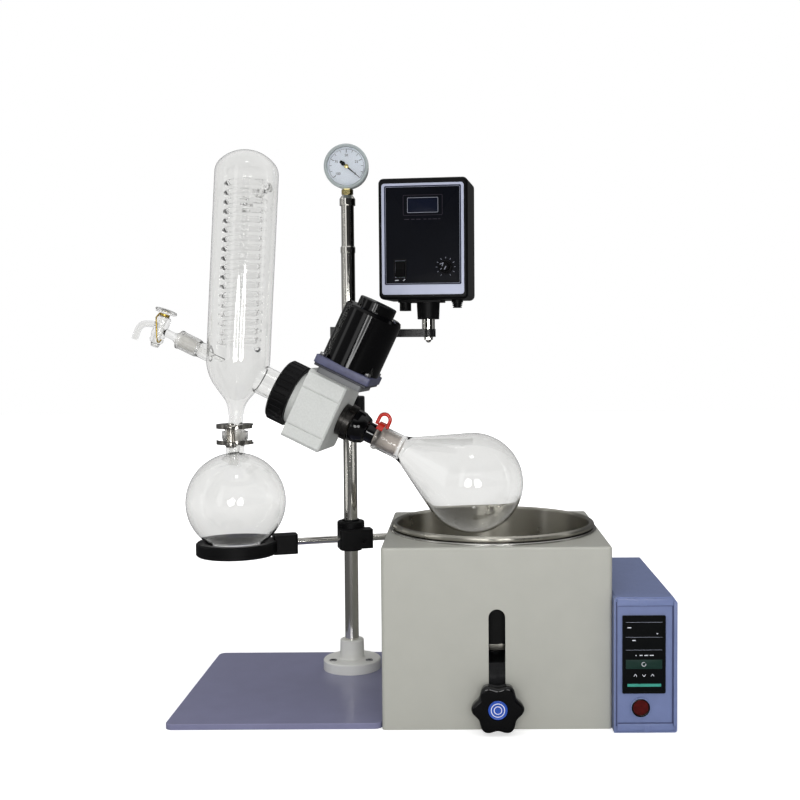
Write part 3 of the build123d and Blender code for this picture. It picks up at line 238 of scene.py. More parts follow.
def arc(centre: tuple[float, float], r: float, start: float, end: float, steps: int = 32) -> Array:
    """Points of a circle's arc: centre + r (cos a, sin a), a in degrees from start to end."""
    a = np.radians(np.linspace(start, end, steps + 1))
    return np.stack([centre[0] + r * np.cos(a), centre[1] + r * np.sin(a)], axis=1)


def polar(r: float | Array, degrees: Array) -> Array:
    """Points on a drawing plane at a radius and an angle: r (cos a, sin a)."""
    a = np.radians(degrees)
    return np.stack([r * np.cos(a), r * np.sin(a)], axis=1)


def rounded_rect(w: float, h: float, r: float) -> Array:
    """The outline of a rectangle w by h about the origin, with corners rounded by r."""
    return rounded([(w / 2, -h / 2), (w / 2, h / 2), (-w / 2, h / 2), (-w / 2, -h / 2)], r, closed=True)


def lathe(profile: Array, steps: int = 96) -> Array:
    """A surface of revolution about z: (r cos a, r sin a, z) for each profile point (r, z) and each angle a.

    Args:
        profile: the outline, (n, 2).
        steps: the number of angles.

    Returns:
        The surface's points, (n, steps, 3).
    """
    a = np.linspace(0.0, TAU, steps, endpoint=False)
    r, z = profile[:, 0, None], profile[:, 1, None]
    return np.stack([r * np.cos(a), r * np.sin(a), np.broadcast_to(z, (len(profile), steps))], axis=-1)


def rings_along(path: Array, radius: float | Array, sides: int, reference: Sequence[float]) -> Array:
    """Circles carried along a path: point + radius (n cos a + b sin a).

    n is the reference direction with its part along the tangent taken out, and b completes the set.

    Args:
        path: the points of the path, (n, 3).
        radius: one radius, or one for each point.
        sides: the points of each circle.
        reference: a direction that the path never follows.

    Returns:
        The rings, (n, sides, 3).
    """
    tangent = np.gradient(path, axis=0)
    tangent /= np.linalg.norm(tangent, axis=1, keepdims=True)
    ref = np.asarray(reference, dtype=float)
    n = ref - (tangent @ ref)[:, None] * tangent
    n /= np.linalg.norm(n, axis=1, keepdims=True)
    b = np.cross(tangent, n)
    a = np.linspace(0.0, TAU, sides, endpoint=False)[None, :, None]
    r = np.broadcast_to(np.asarray(radius, dtype=float), (len(path),))[:, None, None]
    return path[:, None] + r * (n[:, None] * np.cos(a) + b[:, None] * np.sin(a))


def capped(rings: Array) -> Array:
    """The rings with their middles added at both ends, so that the tube closes."""
    sides = rings.shape[1]
    first = np.broadcast_to(rings[0].mean(axis=0), (1, sides, 3))
    last = np.broadcast_to(rings[-1].mean(axis=0), (1, sides, 3))
    return np.concatenate([first, rings, last])


def prism(outline: Array, low: float, high: float, bevel: float) -> Array:
    """A closed slab on z: the outline stacked in rings, drawn in by the bevel at both ends.

    A ring's points are p - d n, with n the outline's outward normal and d the draw-in, and each end closes on
    the outline's middle.

    Args:
        outline: a closed, counter-clockwise outline that its middle sees, (n, 2).
        low: the lower face.
        high: the upper face.
        bevel: the rounding of both edges.

    Returns:
        The rings, (rings, n, 3).
    """
    step = np.roll(outline, -1, axis=0) - np.roll(outline, 1, axis=0)
    normal = np.stack([step[:, 1], -step[:, 0]], axis=1)
    normal /= np.maximum(np.linalg.norm(normal, axis=1, keepdims=True), TINY)
    t = np.radians(np.linspace(0.0, 90.0, 4))
    draw = bevel * (1 - np.cos(t[::-1]))
    rise = bevel * (1 - np.sin(t[::-1]))
    draws = np.concatenate([draw[:1], draw, draw[::-1], draw[:1]])
    heights = np.concatenate([[low], low + rise, high - rise[::-1], [high]])
    rings = outline[None] - draws[:, None, None] * normal[None]
    rings[0] = rings[-1] = outline.mean(axis=0)
    z = np.broadcast_to(heights[:, None, None], (*rings.shape[:2], 1))
    return np.concatenate([rings, z], axis=-1)


def rim(outline: Array, inner: Array, low: float, high: float, bevel: float = 0.15) -> Array:
    """A closed frame between two outlines with the same number of points, its upper edges cut by a bevel.

    The bevel moves an upper point along the line to its partner on the other outline.

    Args:
        outline: the outer outline, (n, 2).
        inner: the inner outline, (n, 2).
        low: the lower face.
        high: the upper face.
        bevel: the width and height of the cut.

    Returns:
        The rings, (rings, n, 3).
    """
    across = outline - inner
    cut = across * bevel / np.maximum(np.linalg.norm(across, axis=1, keepdims=True), TINY)
    flats = [inner, outline, outline, outline - cut, inner + cut, inner]
    heights = [low, low, high - bevel, high, high, high - bevel]
    return np.stack([np.column_stack([f, np.full(len(f), h)]) for f, h in zip(flats, heights)])


def arc_strip(inner: float, outer: float, start: float, end: float, low: float, high: float) -> Array:
    """A closed flat strip along an arc: four corners carried round, (r cos a, r sin a, z).

    Args:
        inner: the inner radius.
        outer: the outer radius.
        start: the first angle in degrees.
        end: the last angle in degrees.
        low: the lower face.
        high: the upper face.

    Returns:
        The rings with their closed ends, (rings, 4, 3).
    """
    steps = 72
    a = np.radians(np.linspace(start, end, steps + 1))[:, None]
    r = np.array([inner, outer, outer, inner])[None]
    z = np.broadcast_to(np.array([low, low, high, high])[None], (steps + 1, 4))
    return capped(np.stack([r * np.cos(a), r * np.sin(a), z], axis=-1))


# Meshes


def grid_faces(rows: int, columns: int, wrap_rows: bool, wrap_columns: bool, first: int = 0) -> Array:
    """The quads of a grid of points, row after row.

    Args:
        rows: the grid's rows.
        columns: the grid's columns.
        wrap_rows: whether the last row joins the first.
        wrap_columns: whether the last column joins the first.
        first: the index of the grid's first point.

    Returns:
        The corners' indices, (n, 4).
    """
    i = np.arange(rows if wrap_rows else rows - 1)[:, None]
    j = np.arange(columns if wrap_columns else columns - 1)[None, :]
    i1, j1 = (i + 1) % rows, (j + 1) % columns
    quads = np.stack([i * columns + j, i * columns + j1, i1 * columns + j1, i1 * columns + j], axis=-1)
    return quads.reshape(-1, 4) + first


@dataclass
class Shell:
    """One mesh in the making: grids of points, each with the index of its finish."""

    points: list[Array]
    quads: list[Array]
    finish: list[Array]

    @classmethod
    def new(cls) -> "Shell":
        """An empty shell."""
        return cls([], [], [])

    def add(self, place: Frame, grid: Array, wrap_rows: bool = False, wrap_columns: bool = True,
            finish: int = 0) -> "Shell":
        """Adds a grid of points in a frame.

        Args:
            place: the frame.
            grid: the points, (rows, columns, 3).
            wrap_rows: whether the last row joins the first.
            wrap_columns: whether the last column joins the first.
            finish: the index of its finish.

        Returns:
            The shell.
        """
        first = sum(len(p) for p in self.points)
        quads = grid_faces(grid.shape[0], grid.shape[1], wrap_rows, wrap_columns, first)
        self.points.append(place.place(grid).reshape(-1, 3))
        self.quads.append(quads)
        self.finish.append(np.full(len(quads), finish, dtype=np.int32))
        return self

    def add_bars(self, place: Frame, middles: Array, angles: float | Array, lengths: float | Array,
                 widths: float | Array, low: float, high: float, finish: int = 0) -> "Shell":
        """Adds flat bars on a drawing plane, each a prism from low to high.

        A bar's corners are m + a L/2 (cos t, sin t) + b W/2 (-sin t, cos t) with a and b plus or minus one.

        Args:
            place: the drawing plane.
            middles: the bars' middles, (n, 2).
            angles: their directions in degrees, one or one for each.
            lengths: their lengths, likewise.
            widths: their widths, likewise.
            low: their foot.
            high: their face.
            finish: the index of their finish.

        Returns:
            The shell.
        """
        m = np.asarray(middles, dtype=float)
        t = np.radians(np.broadcast_to(np.asarray(angles, dtype=float), (len(m),)))
        along = np.stack([np.cos(t), np.sin(t)], axis=1) * np.broadcast_to(lengths, (len(m),))[:, None] / 2
        across = np.stack([-np.sin(t), np.cos(t)], axis=1) * np.broadcast_to(widths, (len(m),))[:, None] / 2
        signs = np.array([(1, -1), (1, 1), (-1, 1), (-1, -1)], dtype=float)
        flat = m[:, None] + signs[None, :, :1] * along[:, None] + signs[None, :, 1:] * across[:, None]
        foot = np.concatenate([flat, np.full((*flat.shape[:2], 1), low)], axis=-1)
        face = np.concatenate([flat, np.full((*flat.shape[:2], 1), high)], axis=-1)
        corners = np.concatenate([foot, face], axis=1)
        quads = np.array([(3, 2, 1, 0), (4, 5, 6, 7), (0, 1, 5, 4), (1, 2, 6, 5), (2, 3, 7, 6), (3, 0, 4, 7)])
        first = sum(len(p) for p in self.points)
        faces = (quads[None] + 8 * np.arange(len(m))[:, None, None]).reshape(-1, 4) + first
        self.points.append(place.place(corners).reshape(-1, 3))
        self.quads.append(faces)
        self.finish.append(np.full(len(faces), finish, dtype=np.int32))
        return self

    def make(self, name: str, sharp: float = SHARP, outward: bool = True) -> bpy.types.Object:
        """Writes the mesh: doubles merged, poles closed, faces outwards, soft below the sharp angle.

        Args:
            name: the object's name.
            sharp: the angle in degrees above which an edge stays sharp.
            outward: whether the normals are worked out again.

        Returns:
            The linked object, at the origin.
        """
        mesh = bpy.data.meshes.new(name)
        mesh.from_pydata((np.concatenate(self.points) * MM).tolist(), [], np.concatenate(self.quads).tolist())
        mesh.polygons.foreach_set("material_index", np.concatenate(self.finish))
        tidy_mesh(mesh, outward)
        mesh.shade_smooth()
        mesh.set_sharp_from_angle(angle=math.radians(sharp))
        obj = bpy.data.objects.new(name, mesh)
        bpy.context.scene.collection.objects.link(obj)
        return obj


def tidy_mesh(mesh: bpy.types.Mesh, outward: bool = True) -> None:
    """Merges doubles and drops what has no area.

    Args:
        mesh: the mesh.
        outward: whether the normals are turned outwards too.
    """
    work = bmesh.new()
    work.from_mesh(mesh)
    bmesh.ops.remove_doubles(work, verts=work.verts, dist=MERGE_WITHIN)
    bmesh.ops.dissolve_degenerate(work, dist=DROP_BELOW, edges=work.edges)
    if outward:
        bmesh.ops.recalc_face_normals(work, faces=work.faces)
    work.to_mesh(mesh)
    work.free()
    mesh.update()


def combine(base: bpy.types.Object, tools: Sequence[bpy.types.Object], operation: Cut) -> bpy.types.Object:
    """Joins tools to a closed piece or cuts them from it, and removes the tools.

    Args:
        base: the piece that changes.
        tools: closed pieces.
        operation: what the tools do.

    Returns:
        The base.
    """
    for tool in tools:
        cut = base.modifiers.new("cut", "BOOLEAN")
        cut.operation = operation.value
        cut.solver = "EXACT"
        cut.object = tool
    depsgraph = bpy.context.evaluated_depsgraph_get()
    mesh = bpy.data.meshes.new_from_object(base.evaluated_get(depsgraph))
    base.modifiers.clear()
    base.data = mesh
    for tool in tools:
        bpy.data.objects.remove(tool)
    return base


def soften(obj: bpy.types.Object, sharp: float) -> None:
    """Merges what a cut left, and shades the piece soft.

    Args:
        obj: the piece.
        sharp: the angle in degrees above which an edge stays sharp.
    """
    tidy_mesh(obj.data)
    obj.data.shade_smooth()
    obj.data.set_sharp_from_angle(angle=math.radians(sharp))


def paint_band(obj: bpy.types.Object, place: Frame, radii: tuple[float, float], heights: tuple[float, float],
               finish: int) -> None:
    """Gives another finish to the faces whose middles lie in a hollow cylinder: r and z within two ranges.

    Args:
        obj: the piece.
        place: the cylinder's frame, with z along it.
        radii: the inner and outer radius.
        heights: the lower and upper end.
        finish: the index of the finish.
    """
    mesh = obj.data
    flat = np.zeros(len(mesh.polygons) * 3)
    mesh.polygons.foreach_get("center", flat)
    local = (flat.reshape(-1, 3) / MM - place.origin) @ np.stack([place.x, place.y, place.z], axis=1)
    r = np.hypot(local[:, 0], local[:, 1])
    inside = (r > radii[0]) & (r < radii[1]) & (local[:, 2] > heights[0]) & (local[:, 2] < heights[1])
    index = np.zeros(len(mesh.polygons), dtype=np.int32)
    mesh.polygons.foreach_get("material_index", index)
    mesh.polygons.foreach_set("material_index", np.where(inside, finish, index).astype(np.int32))


def turned_solid(name: str, place: Frame, outline: Sequence[tuple[float, float]] | Array,
                 steps: int = 72) -> bpy.types.Object:
    """A closed turned solid, a tool for joining or cutting.

    Args:
        name: the object's name.
        place: its frame, with z along its axis.
        outline: its outline, from the axis back to the axis.
        steps: the number of angles.

    Returns:
        The object.
    """
    return Shell.new().add(place, lathe(np.asarray(outline, dtype=float), steps)).make(name)


# Finishes

# The span of a noise value that grain and mottling use, and the narrower one of a grind
NOISE_SPAN = (0.3, 0.7)
GRIND_SPAN = (0.35, 0.65)
# Pointiness from which an edge starts to wear, and at which it is fully worn
WORN_SPAN = (0.52, 0.6)
# A worn edge is the paint's colour times the first, plus the second
WORN_PALE = (1.8, 0.03)
# How far the grain moves the roughness, as a share of it
ROUGH_SHARE = 0.18
# How strongly the grain and the blower's waves bend the light
GRAIN_STRENGTH = 0.5
WAVE_STRENGTH = 0.25
# Roughness of a lacquer's coat, and of wet or fire-polished glass
COAT_ROUGH = 0.06
GLASS_COAT_ROUGH = 0.04
# A quarter of a turn, which lays the smeared shine across the turning marks
ACROSS = 0.25


def linear(code: str) -> tuple[float, float, float, float]:
    """An sRGB hex value, #RRGGBB, as linear red, green, blue and an alpha of 1."""
    s = np.array([int(code[i:i + 2], 16) / 255.0 for i in (1, 3, 5)])
    v = np.where(s <= 0.04045, s / 12.92, ((s + 0.055) / 1.055) ** 2.4)
    return (float(v[0]), float(v[1]), float(v[2]), 1.0)


def node(tree: bpy.types.NodeTree, kind: str, settings: dict | None = None,
         **sockets: object) -> bpy.types.Node:
    """Adds one shader node.

    Args:
        tree: the node tree.
        kind: the node's type, without its ShaderNode prefix.
        settings: the node's own properties.
        sockets: input values or output sockets to link, by name with _ for a space, or i0, i1 for a number.

    Returns:
        The new node.
    """
    new = tree.nodes.new("ShaderNode" + kind)
    for key, value in (settings or {}).items():
        setattr(new, key, value)
    for key, value in sockets.items():
        index = int(key[1:]) if key[0] == "i" and key[1:].isdigit() else key.replace("_", " ")
        if isinstance(value, bpy.types.NodeSocket):
            tree.links.new(value, new.inputs[index])
        else:
            new.inputs[index].default_value = value
    return new


def ramp(tree: bpy.types.NodeTree, source: bpy.types.NodeSocket, low: float, high: float,
         to_low: float, to_high: float) -> bpy.types.NodeSocket:
    """Maps a value from one range to another, held at both ends.

    Args:
        tree: the node tree.
        source: the value.
        low: the lower end of its range.
        high: the upper end.
        to_low: what the lower end becomes.
        to_high: what the upper end becomes.

    Returns:
        The mapped value.
    """
    new = node(tree, "MapRange", {"clamp": True}, Value=source, From_Min=low, From_Max=high, To_Min=to_low,
               To_Max=to_high)
    return new.outputs["Result"]


def noise(tree: bpy.types.NodeTree, size_mm: float, detail: float = 3.0,
          stretch: tuple[float, float, float] = (1.0, 1.0, 1.0)) -> bpy.types.NodeSocket:
    """Noise over the piece, drawn out along an axis whose stretch is below 1.

    Args:
        tree: the node tree.
        size_mm: about how much a grain measures.
        detail: how many finer layers are added.
        stretch: how often it repeats along each axis, next to plain noise.

    Returns:
        The noise's value.
    """
    place = node(tree, "TexCoord").outputs["Object"]
    mapped = node(tree, "Mapping", Vector=place, Scale=stretch)
    return node(tree, "TexNoise", Vector=mapped.outputs[0], Scale=1000.0 / size_mm, Detail=detail).outputs[0]


@dataclass(frozen=True)
class Finish:
    """A surface finish: its colour and gloss, with grain in the height and mottling in the colour.

    `turned` smears the shine across turning marks, `wear` pales the edges, and `shine` is the specular level.
    """

    name: str
    colour: str
    rough: float = 0.4
    metallic: float = 0.0
    grain_mm: float = 1.0
    grain_depth: float = 0.02
    mottle: float = 0.06
    mottle_mm: float = 30.0
    coat: float = 0.0
    stretch: tuple[float, float, float] = (1.0, 1.0, 1.0)
    wear: float = 0.0
    turned: float = 0.0
    shine: float = 0.5

    def material(self) -> bpy.types.Material:
        """The finish as a node material, made once."""
        return made(self)

    def dress(self, tree: bpy.types.NodeTree, shader: bpy.types.Node) -> None:
        """Wires the finish: mottled colour, roughness that follows the grain, and the grain as bump.

        Args:
            tree: the material's node tree.
            shader: its surface shader.
        """
        base = linear(self.colour)
        dark = tuple(c * (1.0 - self.mottle) for c in base[:3]) + (1.0,)
        light = tuple(min(1.0, c * (1.0 + self.mottle)) for c in base[:3]) + (1.0,)
        cloud = noise(tree, self.mottle_mm, 4.0, self.stretch)
        fine = noise(tree, self.grain_mm, 2.0, self.stretch)
        share = ramp(tree, cloud, *NOISE_SPAN, 0.0, 1.0)
        colour = node(tree, "Mix", {"data_type": "RGBA"}, i0=share, i6=dark, i7=light).outputs[2]
        if self.wear:
            edge = node(tree, "NewGeometry").outputs["Pointiness"]
            worn = ramp(tree, edge, *WORN_SPAN, 0.0, self.wear)
            pale = tuple(min(1.0, c * WORN_PALE[0] + WORN_PALE[1]) for c in base[:3]) + (1.0,)
            colour = node(tree, "Mix", {"data_type": "RGBA"}, i0=worn, i6=colour, i7=pale).outputs[2]
        tree.links.new(colour, shader.inputs["Base Color"])
        spread = ROUGH_SHARE * self.rough
        rough = ramp(tree, fine, *NOISE_SPAN, self.rough - spread, self.rough + spread)
        tree.links.new(rough, shader.inputs["Roughness"])
        shader.inputs["Metallic"].default_value = self.metallic
        if not self.metallic:
            shader.inputs["Specular IOR Level"].default_value = self.shine
        shader.inputs["Coat Weight"].default_value = self.coat
        shader.inputs["Coat Roughness"].default_value = COAT_ROUGH
        bump = node(tree, "Bump", Height=fine, Strength=GRAIN_STRENGTH, Distance=self.grain_depth * MM)
        tree.links.new(bump.outputs[0], shader.inputs["Normal"])
        if self.turned:
            shader.inputs["Anisotropic"].default_value = self.turned
            shader.inputs["Anisotropic Rotation"].default_value = ACROSS
            round_z = node(tree, "Tangent", {"direction_type": "RADIAL", "axis": "Z"})
            tree.links.new(round_z.outputs[0], shader.inputs["Tangent"])


@dataclass(frozen=True)
class Glass(Finish):
    """Borosilicate glass: clear with the faintest grey, or ground where a joint is cut."""

    ground: float = 0.0
    index: float = 1.47

    def dress(self, tree: bpy.types.NodeTree, shader: bpy.types.Node) -> None:
        """Wires the glass: full transmission, its own index, a grind's roughness and the blower's waves.

        Args:
            tree: the material's node tree.
            shader: its surface shader.
        """
        shader.inputs["Base Color"].default_value = linear(self.colour)
        shader.inputs["Transmission Weight"].default_value = 1.0
        shader.inputs["IOR"].default_value = self.index
        shader.inputs["Coat Weight"].default_value = self.coat
        shader.inputs["Coat Roughness"].default_value = GLASS_COAT_ROUGH
        shader.inputs["Roughness"].default_value = 0.0
        if self.ground:
            grit = noise(tree, self.grain_mm, 3.0)
            grind = ramp(tree, grit, *GRIND_SPAN, self.ground - 0.06, self.ground + 0.02)
            tree.links.new(grind, shader.inputs["Roughness"])
        waves = noise(tree, self.mottle_mm, 1.0, self.stretch)
        bump = node(tree, "Bump", Height=waves, Strength=WAVE_STRENGTH, Distance=self.grain_depth * MM)
        tree.links.new(bump.outputs[0], shader.inputs["Normal"])


@lru_cache(maxsize=None)
def made(finish: Finish) -> bpy.types.Material:
    """Builds a finish's material once: one surface shader, wired by the finish.

    Args:
        finish: the finish.

    Returns:
        The material.
    """
    material = bpy.data.materials.new(finish.name)
    material.use_nodes = True
    tree = material.node_tree
    tree.nodes.clear()
    shader = node(tree, "BsdfPrincipled")
    out = node(tree, "OutputMaterial")
    tree.links.new(shader.outputs[0], out.inputs["Surface"])
    finish.dress(tree, shader)
    return material


# Powder coat and enamel on sheet: an even, slightly pebbled skin with a soft shine
BATH_PAINT = Finish("grey_powder_coat", "#ADADA5", rough=0.4, grain_mm=0.9, grain_depth=0.03, mottle=0.02,
                    coat=0.2)
VIOLET_PAINT = Finish("violet_powder_coat", "#6E7BA6", rough=0.36, grain_mm=0.8, grain_depth=0.03,
                      mottle=0.04, mottle_mm=12.0, coat=0.25)
# A dark violet for the gaps beside the controller's folds: painted shade
FOLD_GAP_SHADE = Finish("violet_fold_in_shade", "#3B4368", rough=0.5, grain_mm=0.8, grain_depth=0.02, mottle=0.1)
PLATE_PAINT = Finish("slate_blue_enamel", "#7A7B9A", rough=0.34, grain_mm=0.9, grain_depth=0.03, mottle=0.04,
                     coat=0.25)
FOOT_PAINT = Finish("light_grey_enamel", "#E0E0DC", rough=0.35, grain_mm=0.8, mottle=0.03, coat=0.2)
# Chromium plate over ground tube: a mirror with the finest drawn lines
CHROME = Finish("chromium_plate", "#D6D4CE", rough=0.09, metallic=1.0, grain_mm=0.5, grain_depth=0.002,
                mottle=0.03, stretch=(1.0, 1.0, 0.05))
STEEL = Finish("turned_steel", "#A9A9AA", rough=0.28, metallic=1.0, grain_mm=0.4, grain_depth=0.006,
               mottle=0.08, mottle_mm=8.0)
DARK_STEEL = Finish("oiled_dark_steel", "#4C4A48", rough=0.3, metallic=1.0, grain_mm=0.5, grain_depth=0.01,
                    mottle=0.2, mottle_mm=5.0)
CLAMP_STEEL = Finish("nickelled_spring_steel", "#A5A29C", rough=0.2, metallic=1.0, grain_mm=0.4,
                     grain_depth=0.004, mottle=0.12, mottle_mm=6.0)
# Spun stainless bowl: the brushing runs round the wall, so the shine smears up and down it
SPUN_STEEL = Finish("spun_stainless_steel", "#BDBAB0", rough=0.32, metallic=1.0, grain_mm=40.0,
                    grain_depth=0.001, mottle=0.02, mottle_mm=60.0, turned=0.95)
RIM_STEEL = Finish("polished_stainless_rim", "#B4B3AF", rough=0.2, metallic=1.0, grain_mm=0.6,
                   grain_depth=0.004, mottle=0.05)
# Pale enamel over metal, and brass and bronze whose colour carries the metal
BEZEL_ENAMEL = Finish("pale_bezel_enamel", "#B9C2C3", rough=0.25, metallic=0.25, grain_mm=0.5,
                      grain_depth=0.004, mottle=0.04, coat=0.4)
BRASS = Finish("turned_brass", "#D3C487", rough=0.24, metallic=1.0, grain_mm=0.3, grain_depth=0.005,
               mottle=0.1, mottle_mm=5.0)
CLIP_BRASS = Finish("brass_wire", "#B59A44", rough=0.3, metallic=0.8, grain_mm=0.3, grain_depth=0.005,
                    mottle=0.1, mottle_mm=5.0)
BRONZE = Finish("gear_bronze", "#A9783C", rough=0.35, metallic=1.0, grain_mm=0.3, mottle=0.1, mottle_mm=6.0)
# Sand casting, left unpainted: a dull even grey with the mould's grit
SAND_CAST = Finish("sand_cast_aluminium", "#D2D4D1", rough=0.55, metallic=0.1, grain_mm=0.9, grain_depth=0.07,
                   mottle=0.05, mottle_mm=2.2, shine=0.3)
# Black stove enamel: on the castings with its edges a little worn, on the motor a deep gloss
BLACK_CAST = Finish("black_cast_enamel", "#0D0D0F", rough=0.3, grain_mm=1.0, grain_depth=0.03, mottle=0.15,
                    wear=0.15, shine=0.3)
BLACK_GLOSS = Finish("black_stove_enamel", "#050506", rough=0.08, grain_mm=3.0, grain_depth=0.003, mottle=0.2,
                     coat=0.05, shine=0.22)
# The motor's mount: painted plate over bare machined grey, its lower layer painted darker as shade
PLATE_BLUE = Finish("blue_grey_motor_plate", "#4F516C", rough=0.36, grain_mm=0.8, grain_depth=0.03,
                    mottle=0.16, mottle_mm=7.0)
PLATE_PAINTED_SHADE = Finish("motor_plate_painted_shade", "#2E2F38", rough=0.35, grain_mm=0.8, grain_depth=0.03,
                    mottle=0.15)
SPACER_GREY = Finish("machined_spacer_grey", "#77787A", rough=0.45, metallic=0.3, grain_mm=0.8, mottle=0.08)
# Moulded plastics and rubber: a fine mould skin with sheen rather than shine, save the pressed phenolic
ABS_BLACK = Finish("black_moulded_abs", "#0A0A0B", rough=0.36, grain_mm=0.5, grain_depth=0.02, mottle=0.12,
                   shine=0.12)
ROCKER_BLACK = Finish("black_moulded_rocker", "#060607", rough=0.5, grain_mm=0.4, grain_depth=0.01,
                      mottle=0.12, shine=0.06)
PHENOLIC = Finish("black_phenolic", "#050506", rough=0.1, grain_mm=2.0, grain_depth=0.004, mottle=0.15,
                  coat=0.2, shine=0.3)
NYLON_BLACK = Finish("black_glass_filled_nylon", "#0E0E0F", rough=0.42, grain_mm=0.6, grain_depth=0.03,
                     mottle=0.12, shine=0.12)
ABS_RED = Finish("red_acetal", "#C4291A", rough=0.24, grain_mm=0.6, grain_depth=0.01, mottle=0.08, coat=0.3)
RUBBER = Finish("black_nitrile_rubber", "#121213", rough=0.6, grain_mm=0.5, grain_depth=0.03, mottle=0.1,
                shine=0.3)
# The box's front: silver label, silk-screened fields, and inks that stand a little proud
LABEL_SILVER = Finish("anodised_label_silver", "#B4B9CE", rough=0.36, metallic=0.15, grain_mm=0.3,
                      grain_depth=0.004, mottle=0.05, mottle_mm=40.0)
PANEL_BLACK = Finish("silk_screened_black", "#080A11", rough=0.3, grain_mm=0.5, grain_depth=0.006, mottle=0.1,
                     shine=0.05)
PANEL_NAVY = Finish("navy_printed_border", "#1A1D33", rough=0.34, grain_mm=0.5, grain_depth=0.006, mottle=0.1,
                    shine=0.08)
PRINT_WHITE = Finish("white_ink", "#D9DCE4", rough=0.5, grain_mm=0.3, grain_depth=0.004, mottle=0.04)
PRINT_GREY = Finish("grey_ink", "#8A8E9C", rough=0.5, grain_mm=0.3, grain_depth=0.004, mottle=0.04)
PRINT_DIM = Finish("dim_grey_ink", "#332F38", rough=0.5, grain_mm=0.3, grain_depth=0.004, mottle=0.08,
                   shine=0.1)
PRINT_BLACK = Finish("black_ink", "#15151A", rough=0.5, grain_mm=0.3, grain_depth=0.004, mottle=0.06,
                     shine=0.2)
LCD_NAVY = Finish("unlit_liquid_crystal", "#0B1122", rough=0.3, grain_mm=1.0, grain_depth=0.003, mottle=0.1,
                  shine=0.06)
# Dial, board, lens, badge and display: small flat parts that are read by their colour
DIAL_WHITE = Finish("white_dial_enamel", "#E8EFF8", rough=0.45, grain_mm=0.5, grain_depth=0.004, mottle=0.02)
BOARD_GREEN = Finish("circuit_board_laminate", "#1F5B36", rough=0.4, grain_mm=1.0, mottle=0.1, mottle_mm=5.0)
LAMP_RED = Finish("red_lens_plastic", "#4A0D0C", rough=0.16, grain_mm=0.8, grain_depth=0.004, mottle=0.2,
                  mottle_mm=5.0, coat=0.3, shine=0.3)
BADGE_BLUE = Finish("blue_lacquered_badge", "#2A50B0", rough=0.25, grain_mm=0.5, grain_depth=0.003,
                    mottle=0.1, mottle_mm=4.0, coat=0.3)
DISPLAY_BLACK = Finish("display_window_plastic", "#07090A", rough=0.2, grain_mm=0.8, grain_depth=0.004,
                       mottle=0.1, shine=0.2)
DISPLAY_GREEN = Finish("dark_green_key_foil", "#153029", rough=0.4, grain_mm=0.5, grain_depth=0.008,
                       mottle=0.08, shine=0.2)
DISPLAY_TEAL = Finish("teal_ink", "#2F9684", rough=0.45, grain_mm=0.4, grain_depth=0.004, mottle=0.06)
# Felted fibre: dull and rough, it swallows the light round the pot
INSULATION = Finish("black_felted_insulation", "#0D0D0D", rough=0.7, grain_mm=1.2, grain_depth=0.15,
                    mottle=0.2, shine=0.2)
# Borosilicate glass: a white clearness with the blower's slow waves, frosted where a joint is ground
CLEAR_GLASS = Glass("borosilicate_glass", "#F8F8F7", grain_mm=8.0, grain_depth=0.02, mottle_mm=26.0)
COIL_GLASS = Glass("drawn_glass_tube", "#FDFDFD", grain_mm=8.0, grain_depth=0.01, mottle_mm=14.0,
                   index=1.09, coat=0.8)
GROUND_GLASS = Glass("ground_glass_joint", "#F4F3F0", grain_mm=0.4, grain_depth=0.01, mottle_mm=0.5,
                     ground=0.42)
# The flask's ground neck: a real grind, with a brown-grey tint that is painted shade for what shows through
# it
NECK_GLASS = Glass("ground_neck_painted_shade", "#DCD2CB", grain_mm=0.5, grain_depth=0.01, mottle_mm=0.6, ground=0.3,
                   stretch=(1.0, 1.0, 0.2))
LENS_GLASS = Glass("gauge_window_glass", "#FCFCFC", grain_mm=8.0, grain_depth=0.002, mottle_mm=20.0,
                   index=1.2)

SOLID_FINISHES: dict[str, Finish] = {
    "base_plate": PLATE_PAINT, "column_flange": FOOT_PAINT, "flange_screws": STEEL, "column": CHROME,
    "column_upper_tube": CHROME, "column_cap": CHROME, "gauge_fitting": BRASS, "gauge_case": BEZEL_ENAMEL,
    "gauge_dial": DIAL_WHITE, "gauge_pointer": PRINT_BLACK, "gauge_lens": LENS_GLASS, "arm": BLACK_CAST,
    "box_pin": CHROME, "box_socket": NYLON_BLACK, "control_case": ABS_BLACK, "control_cover": ABS_BLACK,
    "control_label": LABEL_SILVER, "control_board": BOARD_GREEN, "fuse_and_gland": NYLON_BLACK,
    "power_switch": ROCKER_BLACK, "speed_knob": NYLON_BLACK, "head_sleeve": NYLON_BLACK,
    "head_clamp": BLACK_CAST, "clamp_knob": PHENOLIC, "head_housing": SAND_CAST, "motor_flange": PLATE_BLUE,
    "motor_body": BLACK_GLOSS, "worm": STEEL, "worm_wheel": BRONZE, "spindle": STEEL,
    "bearing_outer_races": STEEL, "bearing_inner_races": STEEL, "spindle_collar": DARK_STEEL,
    "flask_nut": NYLON_BLACK, "flask_clip": ABS_RED, "vapour_duct": CLEAR_GLASS,
    "evaporating_flask": CLEAR_GLASS, "vacuum_seal": RUBBER, "coupling_nut": NYLON_BLACK,
    "condenser_jacket": CLEAR_GLASS, "cooling_coil": COIL_GLASS, "stopcock_body": CLEAR_GLASS,
    "stopcock_plug": CLEAR_GLASS, "ball_joint_clamp": CLAMP_STEEL, "receiving_flask": CLEAR_GLASS,
    "support_sleeve": NYLON_BLACK, "cross_boss": NYLON_BLACK, "support_rod": CHROME,
    "support_ring": NYLON_BLACK, "bath_case": BATH_PAINT, "bath_bottom": STEEL, "bath_pot": SPUN_STEEL,
    "pot_jacket": INSULATION, "heater_element": STEEL, "lift_carriage": BLACK_CAST, "lift_knob": PHENOLIC,
    "controller_case": VIOLET_PAINT, "controller_front": VIOLET_PAINT, "controller_display": DISPLAY_BLACK,
    "heater_switch": LAMP_RED,
}


